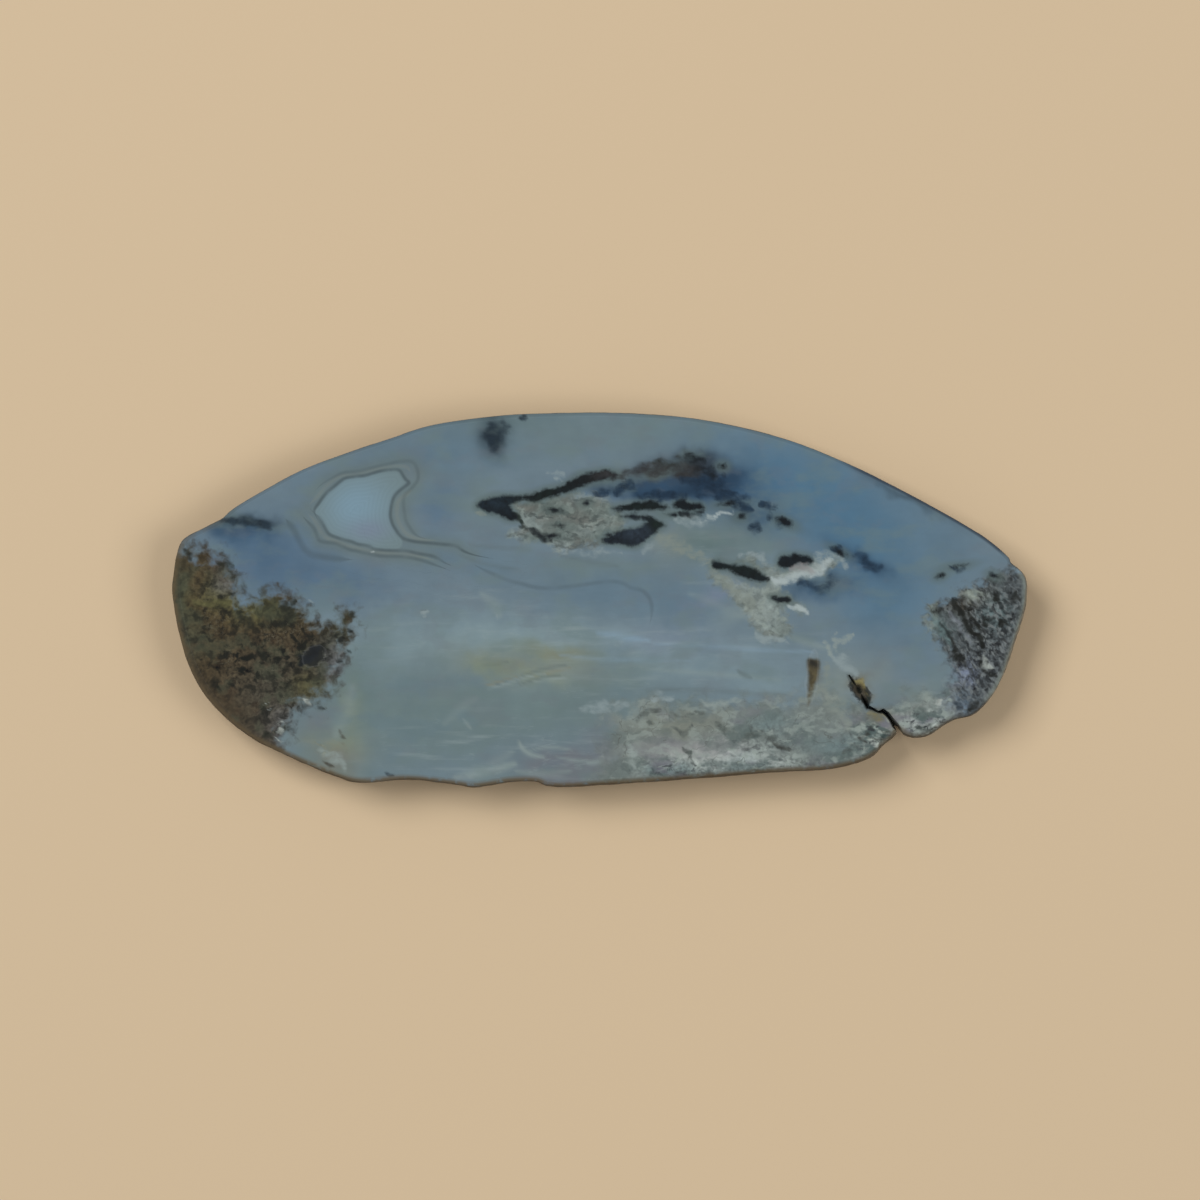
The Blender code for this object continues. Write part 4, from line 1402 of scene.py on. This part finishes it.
MOSS_CLUMPS = ((PEAT, "curled", (1.2, 5.0, 1), (0.48, 0.62), (0.8, 0)),)
MATRIX_PATCHES = (
    (PEARL, "slanted", (0.38, 5.0, 2), (0.46, 0.62), (0.6, 0)),
    (COAL, "slanted", (0.5, 5.0, 1.9), (0.46, 0.62), (0.62, 0)),
)
CHALK_PATCHES = (
    (CHALK_PINK, "curled", (1.4, 4.0, 1.6), (0.52, 0.64), (0.48, 0.096)),
    (FLAX, "curled", (0.9, 5.0, 1.4), (0.52, 0.66), (0, 0.6)),
    (PIT_GREY, "curled", (0.8, 5.0, 1.9), (0.52, 0.64), (0.6, 0.12)),
)

# Gloss: roughness of the polish, and what each layer adds to it
POLISH = 0.08
CHALK_DULL = 0.10
CRUST_DULL = 0.34
WORN_DULL = 0.9
GRAIN_DULL = 0.05
AGATE_IOR = 1.54
# Fine relief: the crust's share beside the rind's, its depth in metres and its strength
CRUST_RELIEF = 0.12
RELIEF_DEPTH = 0.0003
RELIEF_STRENGTH = 0.7


def add(tree, kind, inputs, **settings):
    """A node. An input that is given a socket is linked to it, and one that is given a value has it."""
    node = tree.nodes.new(kind)
    for name, value in settings.items():
        setattr(node, name, value)
    for key, value in inputs.items():
        if isinstance(value, bpy.types.NodeSocket):
            tree.links.new(value, node.inputs[key])
        else:
            node.inputs[key].default_value = value
    return node


def stored(tree, name, output="Fac"):
    """Values that the mesh holds at its points."""
    return add(tree, "ShaderNodeAttribute", {}, attribute_name=name).outputs[output]


def figure(tree, operation, a, b=0.0, c=0.0):
    """What a math node makes of up to three values."""
    return add(tree, "ShaderNodeMath", {0: a, 1: b, 2: c}, operation=operation).outputs[0]


def times(tree, value, *others):
    """The product of some values."""
    for other in others:
        value = figure(tree, "MULTIPLY", value, other)
    return value


def scaled(tree, value, gain, base):
    """gain * value + base."""
    return figure(tree, "MULTIPLY_ADD", value, gain, base)


def swung(tree, value, noise, depth):
    """value + depth * (noise - 0.5)."""
    return scaled(tree, figure(tree, "SUBTRACT", noise, 0.5), depth, value)


def rise(tree, value, start, stop):
    """0 up to start and 1 from stop, smooth between them."""
    inputs = {"Value": value, "From Min": start, "From Max": stop}
    return add(tree, "ShaderNodeMapRange", inputs, interpolation_type="SMOOTHSTEP").outputs["Result"]


def fall(tree, value, start, stop):
    """1 up to start and 0 from stop, smooth between them."""
    return figure(tree, "SUBTRACT", 1.0, rise(tree, value, start, stop))


def paint(tint):
    """A socket as it is, and a tint as linear red, green and blue with 1 as its fourth value."""
    return tint if isinstance(tint, bpy.types.NodeSocket) else (*linear(tint), 1.0)


def tinted(tree, under, over, mask):
    """A colour or tint with another laid over it where the mask is 1."""
    inputs = {0: mask, 6: paint(under), 7: paint(over)}
    return add(tree, "ShaderNodeMix", inputs, data_type="RGBA").outputs[2]


def shaded(tree, colour, value):
    """A colour times a value."""
    return add(tree, "ShaderNodeVectorMath", {0: colour, "Scale": value}, operation="SCALE").outputs[0]


def cloud(tree, place, size, detail=2.0, stretch=(1, 1, 1)):
    """Noise from 0 to 1 with features of a size in mm, longer by stretch along each axis."""
    pull = tuple(1 / (size * part) for part in stretch)
    at = add(tree, "ShaderNodeVectorMath", {0: place, 1: pull}, operation="MULTIPLY").outputs[0]
    return add(tree, "ShaderNodeTexNoise", {"Vector": at, "Scale": 1.0, "Detail": detail}).outputs["Fac"]


def swirl(tree, place, size, push):
    """A place pushed about by noise of a size, both in mm, so that patterns laid on it curl."""
    at = shaded(tree, place, 1 / size)
    noise = add(tree, "ShaderNodeTexNoise", {"Vector": at, "Scale": 1.0, "Detail": 2.0}).outputs["Color"]
    off = add(tree, "ShaderNodeVectorMath", {0: noise, 1: (0.5, 0.5, 0.5)}, operation="SUBTRACT")
    pushed = shaded(tree, off.outputs[0], push)
    return add(tree, "ShaderNodeVectorMath", {0: place, 1: pushed}, operation="ADD").outputs[0]


def veins(tree, noise, width):
    """Winding lines where a noise passes one half."""
    off = figure(tree, "ABSOLUTE", figure(tree, "SUBTRACT", noise, 0.5))
    return fall(tree, off, 0.0, width)


def patched(tree, colour, patches, grounds, strength=0.0):
    """A colour with patches laid over it: rise of each one's noise, times gain * strength + base."""
    for tint, ground, (size, detail, stretch), edge, (gain, base) in patches:
        patch = rise(tree, cloud(tree, grounds[ground], size, detail, (stretch, 1, 1)), *edge)
        colour = tinted(tree, colour, tint, times(tree, patch, scaled(tree, strength, gain, base)))
    return colour


def dab_mask(tree, place, name, tufts, swing, edge):
    """Mask of stored dabs that end in tufts: rise of strength + gain * noise + base, near dabs only."""
    strength = stored(tree, name)
    torn = figure(tree, "ADD", strength, scaled(tree, cloud(tree, place, *tufts), *swing))
    return times(tree, rise(tree, torn, *edge), rise(tree, strength, *DAB_START))


def ragged_edge_group():
    """Node group: rise from -soft to soft of depth + wander * (2 * noise - 1)."""
    group = bpy.data.node_groups.new("ragged edge", "ShaderNodeTree")
    group.interface.new_socket("Depth", in_out="INPUT", socket_type="NodeSocketFloat")
    group.interface.new_socket("Place", in_out="INPUT", socket_type="NodeSocketVector")
    for name in ("Grain", "Wander", "Soft"):
        group.interface.new_socket(name, in_out="INPUT", socket_type="NodeSocketFloat")
    group.interface.new_socket("Mask", in_out="OUTPUT", socket_type="NodeSocketFloat")
    given = group.nodes.new("NodeGroupInput").outputs
    often = figure(group, "DIVIDE", 1.0, given["Grain"])
    noise = add(group, "ShaderNodeTexNoise", {"Vector": given["Place"], "Scale": often, "Detail": 3.0})
    swing = scaled(group, noise.outputs["Fac"], 2.0, -1.0)
    wandered = scaled(group, swing, given["Wander"], given["Depth"])
    mask = rise(group, wandered, times(group, given["Soft"], -1.0), given["Soft"])
    add(group, "NodeGroupOutput", {"Mask": mask})
    return group


RAGGED_EDGE = ragged_edge_group()


def ragged(tree, place, name, edge):
    """Mask of a stored shape whose edge is broken up."""
    inputs = {"Depth": stored(tree, name), "Place": place, **dict(zip(("Grain", "Wander", "Soft"), edge))}
    return add(tree, "ShaderNodeGroup", inputs, node_tree=RAGGED_EDGE).outputs["Mask"]


def agate_finish():
    """The agate's material: its layers of colour one over the other, then gloss and fine relief."""
    finish = bpy.data.materials.new("polished blue agate")
    finish.use_nodes = True
    tree = finish.node_tree
    skin = tree.nodes["Principled BSDF"]
    where = add(tree, "ShaderNodeTexCoord", {}).outputs["Object"]
    place = shaded(tree, where, 1000.0)
    swirled = swirl(tree, place, CURL_SIZE, CURL_PUSH)
    turned = {"Vector": swirled, "Angle": GRAIN_SLANT}
    slanted = add(tree, "ShaderNodeVectorRotate", turned, rotation_type="Z_AXIS").outputs[0]
    grounds = {"still": place, "curled": swirled, "slanted": slanted}
    broad = cloud(tree, place, *BROAD)
    middling = cloud(tree, place, *MIDDLING)
    granules = cloud(tree, swirled, *GRANULES)
    fine = cloud(tree, swirled, *FINE)
    tiny = cloud(tree, place, *TINY)
    streak = cloud(tree, place, *STREAKY)
    fleck = stored(tree, "fleck")

    # The cloudy blue body with its milky streaks
    cloudy = 1.0
    for noise, depth in zip((broad, middling, cloud(tree, place, *WAVY)), BODY_SWINGS):
        cloudy = swung(tree, cloudy, noise, depth)
    colour = shaded(tree, stored(tree, "body_tint", "Color"), cloudy)
    colour = patched(tree, colour, BODY_PATCHES, grounds)
    milk = stored(tree, "milk")
    colour = tinted(tree, colour, PALE, times(tree, rise(tree, streak, 0.5, 0.8), milk))
    curls = times(tree, veins(tree, streak, 0.03), rise(tree, middling, 0.5, 0.65))
    colour = tinted(tree, colour, PALE, times(tree, curls, milk, 0.5))

    # The eye with its nested rings, and the growth lines round it
    nested = figure(tree, "SINE", times(tree, stored(tree, "eye"), RING_RATE))
    eye_colour = shaded(tree, stored(tree, "eye_tint", "Color"), scaled(tree, nested, RING_SWING, 1.0))
    colour = tinted(tree, colour, eye_colour, ragged(tree, place, "eye", EYE_EDGE))
    for name, strengths, tint in LINE_LAYERS:
        across = add(tree, "ShaderNodeSeparateXYZ", {0: stored(tree, name, "Vector")})
        for socket, strength in zip(across.outputs, strengths):
            line = fall(tree, figure(tree, "ABSOLUTE", socket), *LINE_EDGE)
            kept = rise(tree, middling, 0.1, 0.6)
            colour = tinted(tree, colour, tint, times(tree, line, kept, strength))

    # The grain that crust, moss and matrix share, and the crust with its cracks
    contrast = swung(tree, 1.0, fine, scaled(tree, fleck, *FINE_FLECKS))
    contrast = swung(tree, contrast, tiny, times(tree, fleck, TINY_FLECKS))
    grainy = shaded(tree, stored(tree, "grain_tint", "Color"), contrast)
    crust = ragged(tree, swirled, "crust", CRUST_EDGE)
    crust_colour = patched(tree, grainy, CRUST_PATCHES, grounds, fleck)
    cracks = times(tree, veins(tree, cloud(tree, place, *CRAZED), 0.012), rise(tree, middling, 0.42, 0.6))
    crust_colour = tinted(tree, crust_colour, CRACK_BROWN, times(tree, cracks, 0.6))
    colour = tinted(tree, colour, crust_colour, times(tree, crust, CRUST_COVER))

    # The moss with its pale threads and dark clumps, and the matrix, whose grains lie aslant
    moss_colour = patched(tree, grainy, MOSS_GREENS, grounds)
    russet = rise(tree, middling, 0.56, 0.68)
    moss_colour = tinted(tree, moss_colour, RUSSET, times(tree, russet, 0.25))
    threads = times(tree, veins(tree, granules, 0.02), rise(tree, broad, 0.45, 0.6))
    moss_colour = tinted(tree, moss_colour, LICHEN, times(tree, threads, fleck, 0.3))
    moss_colour = patched(tree, moss_colour, MOSS_CLUMPS, grounds, fleck)
    colour = tinted(tree, colour, moss_colour, ragged(tree, swirled, "moss", MOSS_EDGE))
    matrix_colour = patched(tree, grainy, MATRIX_PATCHES, grounds, fleck)
    colour = tinted(tree, colour, matrix_colour, ragged(tree, swirled, "matrix", MATRIX_EDGE))

    # The chalk and its pits
    chalk = ragged(tree, swirled, "chalk", CHALK_EDGE)
    chalk_colour = shaded(tree, stored(tree, "chalk_tint", "Color"), scaled(tree, fine, *CHALK_GRAIN))
    chalk_colour = patched(tree, chalk_colour, CHALK_PATCHES, grounds, stored(tree, "pitted"))
    colour = tinted(tree, colour, chalk_colour, times(tree, chalk, CHALK_COVER))

    # Iron stain, the brown mould, and the dark pocket and vug
    stain = times(tree, stored(tree, "stain"), rise(tree, fine, 0.2, 0.55))
    colour = tinted(tree, colour, RUST, stain)
    mould = ragged(tree, place, "mould", MOULD_EDGE)
    mould_colour = shaded(tree, tuple(linear(MOULD_BROWN)), scaled(tree, fine, *MOULD_GRAIN))
    colour = tinted(tree, colour, mould_colour, mould)
    colour = tinted(tree, colour, HOLLOW_DARK, times(tree, mould, stored(tree, "mould_top")))
    sunk = ragged(tree, swirled, "sunk", SUNK_EDGE)
    hollow_colour = tinted(tree, HOLLOW_DARK, RUST, times(tree, stain, 0.1))
    colour = tinted(tree, colour, hollow_colour, times(tree, sunk, SUNK_COVER))

    # The blades' halo, the soft light and dark dabs, the crisp blades, and the fissure's line
    halo_mask = rise(tree, stored(tree, "blade"), *HALO_EDGE)
    colour = tinted(tree, colour, BLADE_HALO, times(tree, halo_mask, HALO_COVER))
    light = dab_mask(tree, swirled, "light", LIGHT_TUFTS, LIGHT_SWING, LIGHT_EDGE)
    colour = tinted(tree, colour, stored(tree, "light_tint", "Color"), times(tree, light, LIGHT_COVER))
    dark = dab_mask(tree, swirled, "dark", DARK_TUFTS, DARK_SWING, DARK_EDGE)
    dark_colour = shaded(tree, stored(tree, "dark_tint", "Color"), scaled(tree, fine, *DARK_GRAIN))
    colour = tinted(tree, colour, dark_colour, times(tree, dark, DARK_COVER))
    blade_colour = shaded(tree, stored(tree, "blade_tint", "Color"), scaled(tree, fine, *BLADE_GRAIN))
    colour = tinted(tree, colour, blade_colour, ragged(tree, swirled, "blade", BLADE_EDGE))
    crack = fall(tree, stored(tree, "crack"), *CRACK_EDGE)
    colour = tinted(tree, colour, HOLLOW_DARK, times(tree, crack, rise(tree, granules, 0.3, 0.7)))

    # The rind, the dark line under the upper right rim, the worn rim with its painted shade, the smooth
    # strip's painted light, and the low edge's brown fringe, which is partly painted shade
    rind = stored(tree, "rind")
    rind_colour = tinted(tree, RIND_BROWN, RIND_PALE, rise(tree, fine, 0.45, 0.7))
    rind_colour = tinted(tree, rind_colour, RIND_DARK, rise(tree, granules, 0.45, 0.65))
    colour = tinted(tree, colour, rind_colour, rind)
    colour = tinted(tree, colour, RIM_DARK, times(tree, stored(tree, "rim"), RIM_COVER))
    # Painted shade on the worn rim, and painted light on the smooth strip's slope
    shade = scaled(tree, stored(tree, "worn_rim_and_shade"), WORN_RIM_PAINTED_SHADE, 1.0)
    shade = scaled(tree, stored(tree, "strip_painted_light"), STRIP_PAINTED_LIGHT_GAIN, shade)
    colour = shaded(tree, colour, shade)
    brown_fringe_and_shade = times(tree, stored(tree, "brown_fringe_and_shade"), rise(tree, granules, 0.25, 0.5))
    colour = tinted(tree, colour, FRINGE_BROWN_AND_SHADE, times(tree, brown_fringe_and_shade, RIM_COVER))
    tree.links.new(colour, skin.inputs["Base Color"])

    # Gloss and fine relief
    dull = scaled(tree, crust, CRUST_DULL, scaled(tree, chalk, CHALK_DULL, POLISH))
    dull = scaled(tree, rise(tree, stored(tree, "worn_rim_and_shade"), *WORN_START), WORN_DULL, dull)
    dull = figure(tree, "ADD", stored(tree, "dented"), dull)
    dull = scaled(tree, fine, GRAIN_DULL, dull)
    tree.links.new(dull, skin.inputs["Roughness"])
    relief = times(tree, rind, cloud(tree, place, *RIND_LUMPS))
    relief = scaled(tree, crust, times(tree, tiny, CRUST_RELIEF), relief)
    heights = {"Height": relief, "Distance": RELIEF_DEPTH, "Strength": RELIEF_STRENGTH}
    tree.links.new(add(tree, "ShaderNodeBump", heights).outputs["Normal"], skin.inputs["Normal"])
    skin.inputs["IOR"].default_value = AGATE_IOR
    return finish


agate.data.materials.clear()
agate.data.materials.append(agate_finish())


# The studio: a plain pale floor, a large soft light from the upper left and a weaker one from the right,
# under an even pale sky. The camera looks straight down on the slice.

FLOOR_TINT = (208, 184, 150)
FLOOR_HALF = 1.5
FLOOR_GAP = 0.00005
FLOOR_ROUGHNESS = 0.7
IMAGE_SIDE = 1200
IMAGE_MIDDLE = (600, 600)
LENS, SENSOR = 200.0, 36.0
VIEW_END = 10.0
# Name, place, side in metres and power
LIGHTS = (
    ("upper left light", (-0.78, 0.55, 1.15), 0.8, 15.2),
    ("right light", (0.85, -0.15, 1.05), 0.8, 6.6),
)
SKY = (0.96, 0.98, 1.0, 1.0)
SKY_STRENGTH = 0.25

corners = FLOOR_HALF * np.array([(-1, -1, 0), (1, -1, 0), (1, 1, 0), (-1, 1, 0)], float)
corners[:, 2] = LOW[2] - FLOOR_GAP
floor = new_mesh("floor", corners, [[0, 1, 2, 3]])
floor_finish = bpy.data.materials.new("pale floor")
floor_finish.use_nodes = True
floor_skin = floor_finish.node_tree.nodes["Principled BSDF"]
floor_skin.inputs["Base Color"].default_value = paint(FLOOR_TINT)
floor_skin.inputs["Roughness"].default_value = FLOOR_ROUGHNESS
floor.data.materials.append(floor_finish)

for name, spot, size, power in LIGHTS:
    lamp = bpy.data.lights.new(name, "AREA")
    lamp.size = size
    lamp.energy = power
    light = bpy.data.objects.new(name, lamp)
    light.location = spot
    light.rotation_euler = (-Vector(spot)).to_track_quat("-Z", "Y").to_euler()
    bpy.context.scene.collection.objects.link(light)
sky = bpy.data.worlds.new("studio sky")
sky.use_nodes = True
sky.node_tree.nodes["Background"].inputs["Color"].default_value = SKY
sky.node_tree.nodes["Background"].inputs["Strength"].default_value = SKY_STRENGTH
bpy.context.scene.world = sky
bpy.context.scene.view_settings.view_transform = "Standard"

lens = bpy.data.cameras.new("camera")
lens.lens = LENS
lens.sensor_width = SENSOR
lens.clip_end = VIEW_END
camera = bpy.data.objects.new("camera", lens)
distance = IMAGE_SIDE * UNIT * LENS / SENSOR
camera.location = (*on_plan(IMAGE_MIDDLE), THICKNESS + distance)
bpy.context.scene.collection.objects.link(camera)
bpy.context.scene.camera = camera
